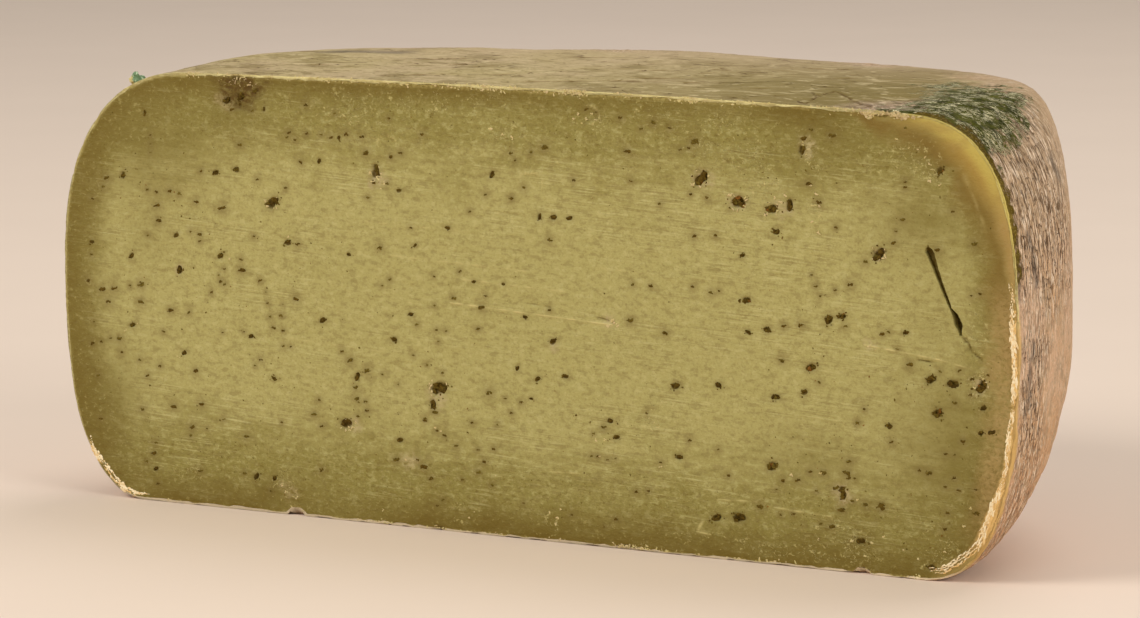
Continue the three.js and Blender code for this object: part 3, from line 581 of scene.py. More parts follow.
def facing_level(places, triangles, loop):
    """The same, with the loop round the cut looking along the cut's own plane."""
    out = facing(places, triangles)
    out[loop, 1] = 0
    out[loop] /= np.linalg.norm(out[loop], axis=1, keepdims=True)
    return out


def inset(places, triangles, loop, thickness):
    """A skin moved inwards."""
    return places - facing_level(places, triangles, loop) * thickness


def from_line(points, first, last):
    """The distance of points from a straight line between two ends, and how far along it they are."""
    first, run = np.array(first), np.array(last) - first
    share = np.clip((points - first) @ run / (run @ run), 0, 1)
    return np.linalg.norm(points - first - share[:, None] * run, axis=1), share


def most(values):
    """The greatest of some rows of values at each place, and at least 0."""
    return np.maximum.reduce([*values]).clip(0)


def thinned(points, gap, kept):
    """Which points to keep so that none is within a gap of one before it. The first ones all stay."""
    tree = tree_of(points)
    keep = np.ones(len(points), bool)
    for index, (a, b) in enumerate(points):
        if keep[index]:
            for _, other, _ in tree.find_range((a, b, 0), gap):
                if other > max(index, kept - 1):
                    keep[other] = False
    return keep


def crease_points():
    """Places along each crease and beside it."""
    points = []
    for run in CREASES:
        for first, last in zip(np.array(run, float), np.array(run[1:], float)):
            way = last - first
            length = np.linalg.norm(way)
            middle = first + np.linspace(0, 1, int(length / CREASE_STEP) + 1)[:, None] * way
            beside = np.array([-way[1], way[0]]) / length
            points += [middle + beside * off for off in CREASE_ROWS]
    points = np.vstack(points)
    return points[thinned(points, CREASE_GAP, 0)]


def creases(places):
    """How close places on the top are to a crease, from 0 to 1."""
    flat = places[:, :2] + 0.7 * np.column_stack([noise(places, 2, 51), noise(places, 2, 52)])
    narrow = np.array([CREASE_NARROWING, 1])
    marks = []
    for run in CREASES:
        for ends in zip(run, run[1:]):
            away, share = from_line(flat * narrow, *(ends * narrow))
            tapered = CREASE_WIDTH * (0.55 + 0.45 * np.sin(np.pi * share))
            marks.append(np.exp(-(away / tapered) ** 2))
    return most(marks) * smooth(places[:, 2], WHEEL_HEIGHT - 6, WHEEL_HEIGHT - 3)


# The outline of the cut, with what is known of each place on it
skin = wheel_skin(RIND_FINE, RIND_COARSE, TOP_SPACING, crease_points())
OUTLINE = skin[0][skin[2]][:, [0, 2]]
OUTLINE_SIDE = np.repeat(
    [AT_BASE, AT_RIGHT, AT_TOP, AT_LEFT],
    [CUT_STEPS["base"], CUT_STEPS["right"] + 1, CUT_STEPS["top"] - 1, CUT_STEPS["left"]],
)
OUTLINE_TURN = np.degrees(np.arctan2(OUTLINE[:, 1] - END_MIDDLE[1], abs(OUTLINE[:, 0]) - END_MIDDLE[0]))
# The width and depth of the broken edge at each place on the outline
BREAK_WIDTH, BREAK_DEPTH = np.ones(len(OUTLINE)), np.zeros(len(OUTLINE))
for side, breaks in ((AT_RIGHT, RIGHT_EDGE), (AT_LEFT, LEFT_EDGE)):
    here = OUTLINE_SIDE == side
    BREAK_WIDTH[here], BREAK_DEPTH[here] = along(breaks, OUTLINE_TURN[here]).T
# How far in from the edge the torn ridge stands: nearer to it in the low right corner
LOW_CORNER = (1 - smooth(OUTLINE_TURN, -50, -36)) * (OUTLINE_SIDE == AT_RIGHT)
RIDGE_AT = BREAK_WIDTH * (0.85 - 0.33 * LOW_CORNER)


def oval(points, x, z, across, up, tilt=0):
    """How far points are from the middle of an oval, where 1 is its rim."""
    cos, sin = np.cos(np.radians(tilt)), np.sin(np.radians(tilt))
    dx, dz = points[:, 0] - x, points[:, 1] - z
    return np.hypot((dx * cos + dz * sin) / across, (dz * cos - dx * sin) / up)


class Face:
    """What the cut face is like at some points: the depth behind the cut, and marks from 0 to 1."""

    def __init__(self, points):
        self.points = points
        self.closest, self.edge = nearest(points, OUTLINE)
        self.depth = self.broken_back() + self.knife() + self.torn()
        self.pit, self.halo = self.pits()
        self.scratch, self.crack = self.lines(SCRATCHES, SCRATCH_WIDTH), self.lines(CRACKS, CRACK_WIDTH)
        self.depth += CRACK_DEPTH * self.crack - SCRATCH_HEIGHT * self.scratch

    def broken_back(self):
        width, depth = BREAK_WIDTH[self.closest], BREAK_DEPTH[self.closest]
        share = np.clip(1 - self.edge / width, 0, 1)
        return depth * (1 - np.sqrt(1 - share * share))

    def knife(self):
        """The low waves and ridges that the knife left, which die out at the edge."""
        p = self.points
        inside = smooth(self.edge, 0, 4)
        waves = 0.1 * (1 + noise(p, 34, 1)) + 0.06 * noise(p, 11, 2)
        ridges = 0.035 * noise(p, np.array([17, 1.6]), 3) + 0.03 * noise(p, 1.9, 4)
        return (waves + ridges) * inside + 0.02

    def torn(self):
        """Rough places: chips out of the edge, torn flakes of curd and the bruise."""
        p = self.points
        ragged = 0.2 * noise(p, 1.2, 5)
        depth = most(
            deep * 0.7 * (1 - smooth(oval(p, x, z, length * 0.55, deep * 0.9) + ragged, 0.3, 1.1))
            for x, z, length, deep in EDGE_CHIPS
        )
        self.flake = np.zeros(len(p))
        for x, z, across, up in FLAKES:
            near = oval(p, x, z, across, up) + 0.14 * noise(p, 1.3, 6)
            depth += 0.12 * (1 - smooth(near, 0.8, 1.05))
            self.flake += 0.7 * band(near, 0.9, 1, 1.03, 1.14) * smooth(noise(p, 2.1, 12), -0.2, 0.5)
        depth -= 0.1 * self.flake
        x, z, across, up = BRUISE
        near = oval(p, x, z, across, up) + 0.26 * noise(p, 2.9, 7) + 0.16 * noise(p, 1.1, 64)
        self.bruise = 1 - smooth(near, 0.3, 1.25)
        return depth + self.bruise * (0.3 + 0.16 * noise(p, 1.3, 8) + 0.08 * noise(p, 0.8, 65))

    def pits(self):
        p = self.points
        pit, halo = np.zeros(len(p)), np.zeros(len(p))
        ragged = 0.3 * noise(p, 0.8, 9)
        for x, z, length, tilt in FLECKS:
            near = oval(p, x, z, length * 0.5, length * 0.5 * FLECK_FLATNESS, tilt)
            hollow = 1 - smooth(near + ragged, 0.55, 1.15)
            self.depth += hollow * length * PIT_DEPTH
            pit = np.maximum(pit, hollow)
            fading = np.exp(-(near * length / (length + 2)) ** 2 * 1.6)
            halo = np.maximum(halo, fading * min(1, length / 2.6))
        for x, z, length in SPECKS:
            near = np.hypot(p[:, 0] - x, p[:, 1] - z)
            halo = np.maximum(halo, 0.75 * np.exp(-(near / (0.5 + 0.75 * length)) ** 2))
        inside_slit = slit_depth(p)
        self.depth += inside_slit
        # The pit mark, with the slit in it, is painted dark as shade in the hollows.
        return np.maximum(pit, smooth(inside_slit, 0.05, 0.5)), halo

    def lines(self, ends, width):
        """How close points are to any of some uneven lines, from 0 to 1."""
        marks = []
        for x0, z0, x1, z1, strength in ends:
            away, share = from_line(self.points, (x0, z0), (x1, z1))
            run = np.column_stack([share * np.hypot(x1 - x0, z1 - z0), share * 0])
            strength *= (0.7 + 0.6 * noise(run, 1.9, 10)).clip(0, 1)
            marks.append(strength * np.exp(-(away / width) ** 2))
        return most(marks)


def slit_shape(z):
    """The middle, half width and depth of the slit at some heights."""
    x, gap, deep = (np.interp(-z, -SLIT[:, 1], SLIT[:, column]) for column in (0, 2, 3))
    return x, (gap / 2 + 0.1 * noise(np.column_stack([z, z]), 0.9, 11)).clip(0.07), deep


def slit_sides(extra):
    """Points down both sides of the slit, some way outside its walls or, if less than 0, inside them."""
    z = np.arange(SLIT[0, 1], SLIT[-1, 1], -SLIT_STEP)
    x, half, _ = slit_shape(z)
    half = np.maximum(half + extra, 0.03)
    return np.vstack([np.column_stack([x + half, z]), np.column_stack([x - half, z])[::-1]])


def slit_depth(points):
    """How deep the slit is at points of the face."""
    x, half, deep = slit_shape(points[:, 1])
    inside = half - abs(points[:, 0] - x)
    bottom, top = SLIT[-1, 1], SLIT[0, 1]
    between_ends = band(points[:, 1], bottom - 0.3, bottom + 0.3, top - 0.3, top + 0.3)
    return deep * smooth(inside, -0.06, 0.06) * between_ends


def rings(x, z, across, up, tilt, shares):
    """Points on ovals round one middle, and the middle itself."""
    points = [(0, 0)]
    for share in shares:
        count = int(6 + 8 * share * (across + up) / 2)
        angle = np.linspace(0, 2 * np.pi, count, endpoint=False) + share
        points += list(zip(share * across * np.cos(angle), share * up * np.sin(angle)))
    turn = np.radians(tilt)
    spin = np.array([[np.cos(turn), np.sin(turn)], [-np.sin(turn), np.cos(turn)]])
    return np.array(points) @ spin + (x, z)


def scratch_points(x0, z0, x1, z1, strength):
    count = int(np.hypot(x1 - x0, z1 - z0) / SCRATCH_STEP)
    middle = (x0, z0) + np.linspace(0, 1, count)[:, None] * (x1 - x0, z1 - z0)
    return np.vstack([middle + (0, offset) for offset in SCRATCH_ROWS])


def special_points():
    """Where the face needs more points: at the slit, the pits, the flakes of curd and the scratches."""
    slit = [slit_sides(extra) for extra in SLIT_ROWS]
    pits = [
        rings(x, z, length * 0.5, length * 0.5 * FLECK_FLATNESS, tilt, PIT_RINGS)
        for x, z, length, tilt in FLECKS
    ]
    flakes = [rings(*flake, 0, FLAKE_RINGS) for flake in FLAKES]
    points = np.vstack(slit + pits + flakes + [scratch_points(*line) for line in SCRATCHES + CRACKS])
    loops = [np.arange(len(slit[0])), len(slit[0]) + np.arange(len(slit[1]))]
    return points[thinned(points, FACE_GAP, len(slit[0]) + len(slit[1]))], loops


def paste_mesh():
    """The paste: its cut face in full relief, closed by a plain hidden body inside the rind."""
    skin_places, skin_triangles, loop, _ = wheel_skin(*HIDDEN_SPACING)
    body = inset(skin_places, skin_triangles, loop, HIDDEN_TUCK)
    outline = inset(skin_places, skin_triangles, loop, PASTE_TUCK)[loop][:, [0, 2]]
    special, loops = special_points()
    field = lattice(outline.min(0), outline.max(0), FACE_SPACING)
    field = field[within(field, outline)]
    field = field[nearest(field, special)[1] > FACE_SPACING * 0.42]
    inside = np.vstack([special, field])
    inside = inside[nearest(inside, outline)[1] > FACE_SPACING * 0.4]
    triangles = triangulate(outline, inside, loops)
    face = Face(np.vstack([outline, inside]))
    depth = face.depth.copy()
    depth[: len(outline)] += PASTE_SUNK
    places = np.column_stack([face.points[:, 0], depth, face.points[:, 1]])
    body[loop] = places[: len(outline)]
    numbers = np.concatenate([loop, len(body) + np.arange(len(inside))])
    marks = {}
    for name, values in face_marks(face).items():
        marks[name] = np.zeros(len(body) + len(inside))
        marks[name][numbers] = values
    return np.vstack([body, places[len(outline):]]), np.vstack([skin_triangles, numbers[triangles]]), marks


def within(points, outline):
    """Which points of the face lie inside its outline, whose four sides go round in their order."""
    base, right, top, left = (outline[OUTLINE_SIDE == side] for side in range(4))
    top, left = top[::-1], left[::-1]
    x, z = points.T
    below_top = (z < np.interp(x, *top.T)) | (x < top[0, 0]) | (x > top[-1, 0])
    beside = (x < np.interp(z, right[:, 1], right[:, 0])) & (x > np.interp(z, left[:, 1], left[:, 0]))
    return below_top & beside & (z > np.interp(x, *base.T)) & (z < right[:, 1].max())


def face_marks(face):
    """The painted marks of the face, from 0 to 1."""
    p, edge = face.points, face.edge
    x, z = p.T
    side, turn = OUTLINE_SIDE[face.closest], OUTLINE_TURN[face.closest]
    ragged = edge * (1 + 0.25 * noise(p, 7, 21)) + 0.6 * noise(p, 2.5, 22)
    reach = np.choose(side, [10.5, 11, 8, 13])
    right = side == AT_RIGHT
    golden = (right | (side == AT_TOP)) & (x > 60)
    gold_width = along(GOLD_WIDTH, turn)[:, 0] * golden
    gold = 1 - smooth(edge + 0.4 * noise(p, 4, 23), gold_width * 0.25, gold_width * 1.25 + 0.01)
    gold = gold * golden
    # Inside the gold a browner band: the paste's own colour there, together with painted shade where the
    # edge is rounded back.
    brown_width = (8 * band(turn, -14, 8, 34, 52) + 5 * band(turn, 40, 58, 68, 84)) * golden
    pale_side = right * band(turn, -34, -18, 6, 16)
    brown = (1 - smooth(ragged, gold_width, gold_width + brown_width + 0.01)) * golden * (brown_width > 0.5)
    corner = golden * band(turn, 4, 22, 72, 86)
    shade = most(strength * np.exp(-oval(p, *place) ** 2 * 1.2) for *place, strength in SHADES)
    wide, fine = 0.3 * noise(p, 5, 24), 0.35 * noise(p, 1.5, 29)
    curls = most(1 - smooth(oval(p, *place) + wide, 0.5, 1.1) for place in CURLS)
    haze = most(1 - smooth(oval(p, *place, place[-1]) + fine, 0.3, 1.15) for place in HAZES)
    ridge = RIDGE_AT[face.closest]
    paler = 1 - 0.4 * band(x, -74, -58, -42, -22) * (z < 40) - 0.3 * band(x, -12, 4, 54, 66) * (z > 60)
    left = side == AT_LEFT
    paler -= 0.2 * left
    return {
        "haze": haze,
        # The margin darkens the paste near its outline: its own browner edge, together with painted shade
        # where the light falls off towards the edges.
        "margin": (1 - smooth(ragged, 0, reach)) * (1 - corner) * (1 - 0.8 * pale_side) * paler,
        "khaki": golden * smooth(turn + 3 * noise(p, 5, 27), 48, 66),
        "seam": right * band(turn, -50, -30, 8, 20) * band(edge + 1.2 * noise(p, 3, 28), 0.4, 1.2, 3, 9),
        "tan": golden * (1 - smooth(turn + 3 * noise(p, 5, 30), 24, 42)),
        "glow": golden * band(turn, 28, 44, 56, 68) * (1 - smooth(edge + 0.5 * noise(p, 6, 26), 1.2, 4)),
        "gold": gold,
        "brown": brown * (1 - 0.8 * gold),
        "flank": right * band(turn, -60, -54, 8, 16) * (1 - smooth(edge, ridge, 1.35 * ridge)),
        "pit": face.pit,
        "halo": face.halo,
        "scratch": face.scratch,
        "crack": face.crack,
        "bruise": face.bruise,
        # The middle is painted lighter, as painted light that falls off towards the top and bottom of the
        # face.
        "middle": band(z, 4, 34, 66, 99) * smooth(edge, 2, 17),
        "curls": curls * smooth(edge, 0.6, 2),
        "lip": (1 - smooth(edge, 0.3, 0.8)) * (1 - golden * 0.5),
        "flake": face.flake.clip(0, 1),
        "shade": shade,
        "edging": left * (1 - smooth(edge + 0.2 * noise(p, 3, 25), 0.3, 1)) * smooth(z, 24, 40),
    }


def rind_relief(places, around, up, on_top):
    """How far the rough rind stands out from the smooth one, and how strong its furrows are, for painted
    shade in them.
    """
    run = np.column_stack([around, up])
    near_cut = 1 - 0.5 * smooth(around, 26, 60)
    patchy = 0.55 + 0.45 * smooth(noise(run, np.array([9, 22]), 30), -0.5, 0.3)
    furrows = noise(run, np.array([1.5, 6]), 31) + 0.8 * noise(run, np.array([1.1, 3.2]), 32)
    pocks = smooth(noise(run, np.array([1.2, 1.8]), 33), 0.25, 0.7)
    side = (0.2 * furrows - 0.24 * pocks) * near_cut * patchy
    top = 0.1 * noise(places, 7, 35) + 0.08 * noise(places, np.array([6, 2.4, 4]), 36)
    top = top + 0.04 * noise(places, np.array([3, 1.1, 2]), 37)
    relief = side * (1 - on_top) + top * on_top + 0.22 * noise(places, 17, 34)
    return relief - 0.07, (side < -0.05) * smooth(-side, 0.05, 0.3) * (1 - on_top)


def rind_marks(places, around, on_top, hollow, crease):
    """The painted marks of the rind's outside, from 0 to 1."""
    x, behind, z = places.T
    degrees = np.degrees(np.arctan2(behind, x))
    right = smooth(x, 20, 60)
    nearby = behind / (1 + 0.3 * smooth(z, 78, 92)) + 1.6 * noise(places, 1.8, 41)
    nearby += 1.1 * noise(places, 0.9, 59)
    high_up = smooth(z + 3 * noise(places, 4, 42), STRIP_FROM - 8, STRIP_FROM + 3) * (z < 99)
    past_break = behind - np.interp(z, HEIGHTS[0], RIGHT_DEPTH) + 0.5 * noise(places, 2, 43)
    far_in = smooth(np.hypot(x, behind) + 6 * noise(places, 8, 45), GREEN_FROM, GREEN_FROM + 16)
    below = smooth(z + 3 * noise(places, 5, 46) - 0.22 * behind, 84, 93)
    turned = degrees + 6 * noise(places, 9, 47) + 5 * noise(places, 3, 62)
    wavering = around + 4 * noise(places, 7, 48)
    patches = smooth(noise(places, 18, 50) + 0.7 * noise(places, 7, 56), -0.8, 0.9)
    rough = most([
        band(wavering, -4, 4, 24, 64) * smooth(z + 5 * noise(places, 6, 49), 48, 66),
        0.95 * band(wavering, -2, 5, 12, 20) * band(z, 18, 34, 50, 60),
        0.6 * band(wavering, -3, 3, 16, 28) * (1 - smooth(z, 24, 36)),
        0.06 + (0.12 + 0.45 * smooth(around, 80, 110)) * patches,
    ])
    return {
        "on_top": on_top,
        "strip": right * (1 - smooth(nearby, 1.4, 6)) * high_up,
        "upper": smooth(z + 6 * noise(places, 8, 58), 58, 88) * (1 - 0.4 * smooth(around, 60, 120)),
        "flank": right * (1 - smooth(past_break, 0.1, 1.2)) * band(z, 1, 6, 52, 60),
        "green": far_in * below * (1 - smooth(turned, *GREEN_FADES)),
        "crease": crease,
        # Painted shade in the rind's sunken places.
        "hollow": hollow * rough,
        "rough": rough,
        "smear": line_marks(places, SMEARS),
        "spot": line_marks(places, SPOTS),
    }


def rind_mesh():
    """The rind: a thin closed shell, rough outside, whose rim is the fine line round the cut."""
    places, triangles, loop, travelled = skin
    out = facing_level(places, triangles, loop)
    around, up = travelled.T
    x, behind, z = places.T
    degrees = np.degrees(np.arctan2(behind, x))
    climbing = 5 + 9 * (1 - smooth(degrees, 20, 60)) - 5 * smooth(degrees, 150, 175)
    topward = up - climbing + 8 * noise(places, 16, 63) + 6 * noise(places, 8, 44)
    topward += 3 * noise(places, 3.5, 57)
    on_top = smooth(topward, SIDE_LENGTH - 22, SIDE_LENGTH + 6)
    relief, hollow = rind_relief(places, around, up, on_top)
    crease = creases(places)
    relief = (relief - 0.3 * crease) * (smooth(behind, 0.2, 2.4) * smooth(z, 0, 5))
    outer = places + out * relief[:, None]
    cut = places[loop]
    ragged = 0.22 * smooth(noise(cut, 2.2, 37), 0.1, 0.8) + 0.07 * (1 + noise(cut, 0.9, 38))
    outer[loop] -= out[loop] * ragged[:, None]
    outer[loop, 1] = Face(outer[loop][:, [0, 2]]).depth + 0.04 * noise(cut, 1.4, 39)

    plain, plain_triangles, plain_loop, _ = wheel_skin(*HIDDEN_SPACING)
    inner = inset(plain, plain_triangles, plain_loop, HIDDEN_RIM)
    thickness = 1 + 0.5 * noise(cut, 1.8, 40) + 0.35 * noise(cut, 9, 60)
    inner[plain_loop] = cut - out[loop] * (np.choose(OUTLINE_SIDE, RIM_THICKNESS) * thickness)[:, None]
    inner[plain_loop, 1] = Face(inner[plain_loop][:, [0, 2]]).depth - RIM_PROUD

    inner_loop = plain_loop + len(outer)
    following, inner_following = np.roll(loop, -1), np.roll(inner_loop, -1)
    rim = [(loop, following, inner_following), (loop, inner_following, inner_loop)]
    all_triangles = [triangles, plain_triangles[:, ::-1] + len(outer)]
    all_triangles += [np.column_stack(half) for half in rim]

    marks = {}
    for name, values in rind_marks(places, around, on_top, hollow, crease).items():
        marks[name] = np.concatenate([values, np.zeros(len(inner))])
    marks["rim"] = np.zeros(len(outer) + len(inner))
    marks["rim"][np.concatenate([loop, inner_loop])] = 1
    marks["flank"][inner_loop] = marks["flank"][loop]
    travel = np.vstack([np.column_stack([around, up, up * 0]), np.zeros((len(inner), 3))])
    return np.vstack([outer, inner]), np.vstack(all_triangles), marks, travel


def line_marks(places, lines):
    """How close places are to any of some short lines, from 0 to 1."""
    wandered = places + 1.2 * np.column_stack([noise(places, 2.6, seed) for seed in (53, 54, 55)])
    return most(
        np.exp(-(from_line(wandered, ends[:3], ends[3:])[0] / width) ** 2) for *ends, width in lines
    )


def ball(detail):
    made = bmesh.new()
    bmesh.ops.create_icosphere(made, subdivisions=detail, radius=0.5)
    points = np.array([v.co for v in made.verts])
    triangles = np.array([[v.index for v in face.verts] for face in made.faces])
    made.free()
    return points, triangles


BALLS = {detail: ball(detail) for detail in (1, 2, 3)}


class Scatter:
    """Many small lumps in one mesh, each with a shade of its own."""

    def __init__(self):
        self.places, self.triangles, self.shades, self.count = [], [], [], 0

    def lump(self, middle, sizes, tilt=0, detail=2, ragged=0.5, shade=None):
        points, triangles = BALLS[detail]
        swell = 1 + ragged * noise(points * 2.2 + random.uniform(0, 900, 3), 0.62, 61)
        points = points * swell[:, None] * sizes
        turn = np.radians(tilt)
        x = points[:, 0] * np.cos(turn) - points[:, 2] * np.sin(turn)
        z = points[:, 0] * np.sin(turn) + points[:, 2] * np.cos(turn)
        self.places.append(np.column_stack([x, points[:, 1], z]) + middle)
        self.triangles.append(triangles + self.count)
        self.shades.append(np.full(len(points), random.uniform() if shade is None else shade))
        self.count += len(points)

    def mesh(self):
        return np.vstack(self.places), np.vstack(self.triangles), {"shade": np.concatenate(self.shades)}


def uneven(size, low=0.7, high=1.3):
    return size * random.uniform(low, high, 3)


def fleck(herbs, x, z, length, tilt):
    """One herb fleck: torn bits of leaf in a crooked row down its pit, with scraps round them."""
    turn = np.radians(tilt)
    along, across = np.array([np.cos(turn), np.sin(turn)]), np.array([-np.sin(turn), np.cos(turn)])
    shade, drift = random.uniform(0, 0.35), 0.0
    deep = length * PIT_DEPTH
    for share in np.linspace(-0.38, 0.38, 5 + int(3.4 * length)):
        drift = np.clip(drift + random.normal(0, 0.13), -0.24, 0.24)
        at = np.array([x, z]) + length * (share * along + drift * across)
        long = length * random.uniform(0.14, 0.34) + 0.3
        sizes = np.array([long, 0.2 * long + 0.15, long * random.uniform(0.4, 0.8)])
        front = deep * random.uniform(0.2, 0.8) + 0.1
        reddish = 0.7 * (length > 1.7 and x > REDDISH_FROM) * (random.uniform() < 0.12)
        bit = shade + random.uniform(-0.1, 0.5) + reddish
        herbs.lump((at[0], front, at[1]), sizes, tilt + random.normal(0, 50), 2, 0.8, bit)
    for _ in range(2 + int(length)):
        angle, away = random.uniform(0, 2 * np.pi), length * random.uniform(0.5, 0.95)
        at = np.array([x, z]) + away * (np.cos(angle) * along + FLECK_FLATNESS * np.sin(angle) * across)
        sizes, turned = uneven(random.uniform(0.25, 0.55)), random.uniform(0, 180)
        herbs.lump((at[0], 0.22, at[1]), sizes, turned, 1, 0.6, random.uniform(0.3, 0.9))


def fleck_mesh():
    """The herbs that show in the paste: ragged clumps in the pits, and small specks on the face."""
    herbs = Scatter()
    for x, z, length, tilt in FLECKS:
        fleck(herbs, x, z, length, tilt)
    specks = np.array(SPECKS)
    there = Face(specks[:, :2])
    for (x, z, length), depth in zip(SPECKS, there.depth):
        tilt, shade = random.uniform(-40, 40), random.uniform(0.35, 0.9)
        for share in (-0.24, 0.05, 0.28):
            sizes = uneven(length * 0.72, 0.6) * (1.1, 0.6, SPECK_FLATNESS)
            off = share * length
            at_x, at_z = x + off * np.cos(np.radians(tilt)), z + off * random.uniform(-0.4, 0.6)
            herbs.lump((at_x, depth + sizes[1] * 0.3, at_z), sizes, tilt, 2, 0.6, shade)
    dust = random.uniform((-113, 4), (113, 96), (EVEN_DUST, 2))
    for x, z, across, up, count in DUST_CLUSTERS:
        dust = np.vstack([dust, random.normal((x, z), (across, up), (count, 2))])
    dust = dust[within(dust, OUTLINE)]
    there = Face(dust)
    low, high = DUST_SIZES
    for (x, z), depth, edge in zip(dust, there.depth, there.edge):
        if edge > 2 and depth < 1:
            sizes = uneven(low + (high - low) * random.uniform() ** 2) * (1.2, 0.7, 0.9)
            turned, shade = random.uniform(0, 180), random.uniform(0.5, 1)
            herbs.lump((x, depth + sizes[1] * 0.3, z), sizes, turned, 1, 0.5, shade)
    return herbs.mesh()


def crumb_mesh():
    """Pale crumbs of curd: along the top and bottom edges, at the largest flecks and at the bruise."""
    crumbs = Scatter()
    for side, count, low, high in EDGE_CRUMBS:
        edge = OUTLINE[OUTLINE_SIDE == side]
        bunching = np.exp(2.6 * noise(edge, 7, 71))
        for x, z in edge[random.choice(len(edge), count, p=bunching / bunching.sum())]:
            sizes = uneven(random.uniform(low, high), 0.6, 1.5) * (1.5, 0.5, 0.8)
            inwards = abs(random.normal(0, 0.5))
            z_in = z - inwards if side == AT_TOP else max(z + inwards, 0.8 * sizes.max())
            at = (x + random.uniform(-0.4, 0.4), 0.05 + random.uniform(0, 0.2), z_in)
            crumbs.lump(at, sizes, random.normal(0, 50), 1, 0.8)
    likely = np.exp(-(((OUTLINE[:, 0] - BROKEN_AT) / BROKEN_REACH) ** 2)) * (OUTLINE[:, 1] > 90)
    likely *= np.exp(2 * noise(OUTLINE, 1.6, 72))
    spots = OUTLINE[random.choice(len(OUTLINE), BROKEN_CRUMBS, p=likely / likely.sum())] - (0, 0.3)
    for (x, z), depth in zip(spots, Face(spots).depth):
        sizes = uneven(random.uniform(0.25, 0.85), 0.6, 1.4) * (1.5, 0.6, 0.8)
        at = (x, depth - 0.05, z - abs(random.normal(0, 0.55)))
        crumbs.lump(at, sizes, random.normal(-12, 35), 2, 0.9, random.uniform(0.3, 1.3))
    for x, z, size in CURDS:
        for _ in range(CURD_BITS):
            at = (x + random.normal(0, 0.25) * size, 0.12, z + random.normal(0, 0.2) * size)
            sizes = uneven(0.55 * size, 0.6, 1.3) * (1.5, 0.5, 0.75)
            crumbs.lump(at, sizes, random.uniform(-60, 60), 2, 0.9)
    for x, z, length, tilt in FLECKS:
        for _ in range(int(length * 2) * (length > CRUMBLED_FROM)):
            angle, away = random.uniform(0, 2 * np.pi), length * random.uniform(0.42, 0.62)
            at = (x + away * np.cos(angle), 0.12, z + away * np.sin(angle) * 0.8)
            sizes = uneven(random.uniform(0.2, 0.5)) * (1.5, 0.5, 0.7)
            crumbs.lump(at, sizes, random.uniform(0, 180), 2, 0.9)
    x, z, across, up = BRUISE
    for _ in range(BRUISE_CRUMBS):
        at = (x + random.uniform(-1, 1.4) * across, 0.3, z + random.uniform(0.1, 0.62) * up)
        sizes, turned = uneven(random.uniform(0.2, 0.5)) * (1.5, 0.6, 0.7), random.uniform(0, 180)
        crumbs.lump(at, sizes, turned, 2, 0.9, random.uniform(0.8, 1.5))
    return crumbs.mesh()


def torn_rim_mesh():
    """The torn ridge down the right edge of the face, and torn strands at its lower left corner."""
    rim = Scatter()
    for side, low, high, thick, apart in RIDGES:
        chosen = (OUTLINE_SIDE == side) & (OUTLINE_TURN > low) & (OUTLINE_TURN < high)
        edge = OUTLINE[chosen]
        inward = (END_MIDDLE[0] * np.sign(edge[0, 0]), END_MIDDLE[1]) - edge
        inward /= np.linalg.norm(inward, axis=1, keepdims=True)
        middle = edge + inward * (RIDGE_AT[chosen] + 0.15)[:, None]
        way = np.degrees(np.arctan2(*np.gradient(middle, axis=0).T[::-1]))
        run = np.cumsum(np.hypot(*np.gradient(middle, axis=0).T))
        twice = np.column_stack([run, run])
        fullness = (0.8 + 0.55 * noise(twice, 4, 81)) * band(run, -3, 5, run[-1] - 9, run[-1] + 5)
        wander = 0.3 * noise(twice, 3.1, 82)
        spread = 1 + 1.4 * (1 - smooth(OUTLINE_TURN[chosen], -46, -30)) * (side == AT_RIGHT)
        for row in range(RIDGE_ROWS):
            for at in np.arange(0, run[-1], RIDGE_STEP):
                index = np.searchsorted(run, at)
                off = wander[index] + random.normal(0, 0.12) - apart * spread[index] * row
                x, z = middle[index] + inward[index] * off
                long = random.uniform(0.8, 2.2)
                sizes = np.array([long, uneven(0.4)[0], uneven(thick)[1]]) * fullness[index].clip(0.3)
                tilt = way[index] + random.uniform(-22, 22)
                shade = random.uniform(0, 0.7) + 0.35 * (row == RIDGE_ROWS - 1)
                rim.lump((x, 0.12 + 0.06 * row, max(z, sizes[2])), sizes, tilt, 2, 0.5, shade)
    return rim.mesh()


def herb_crumb_mesh():
    """A bit of herb stuck on the left shoulder."""
    bit = Scatter()
    for move, sizes, tilt, shade in (
        ((0.5, 0, 0), (0.8, 0.7, 1), 20, 0),
        ((-0.2, 0, 0.8), (0.6, 0.5, 0.5), 50, 0),
        ((-1, -0.3, -0.2), (0.6, 0.5, 0.7), 10, 1),
    ):
        bit.lump(np.add(HERB_CRUMB, move), HERB_CRUMB_SIZE * np.array(sizes), tilt, 3, 0.7, shade)
    return bit.mesh()


def colour(screen):
    """The shader's colour for a red, green and blue as a screen has them, from 0 to 255."""
    share = np.array(screen) / 255
    linear = np.where(share <= 0.04045, share / 12.92, ((share + 0.055) / 1.055) ** 2.4)
    return (*map(float, linear), 1.0)


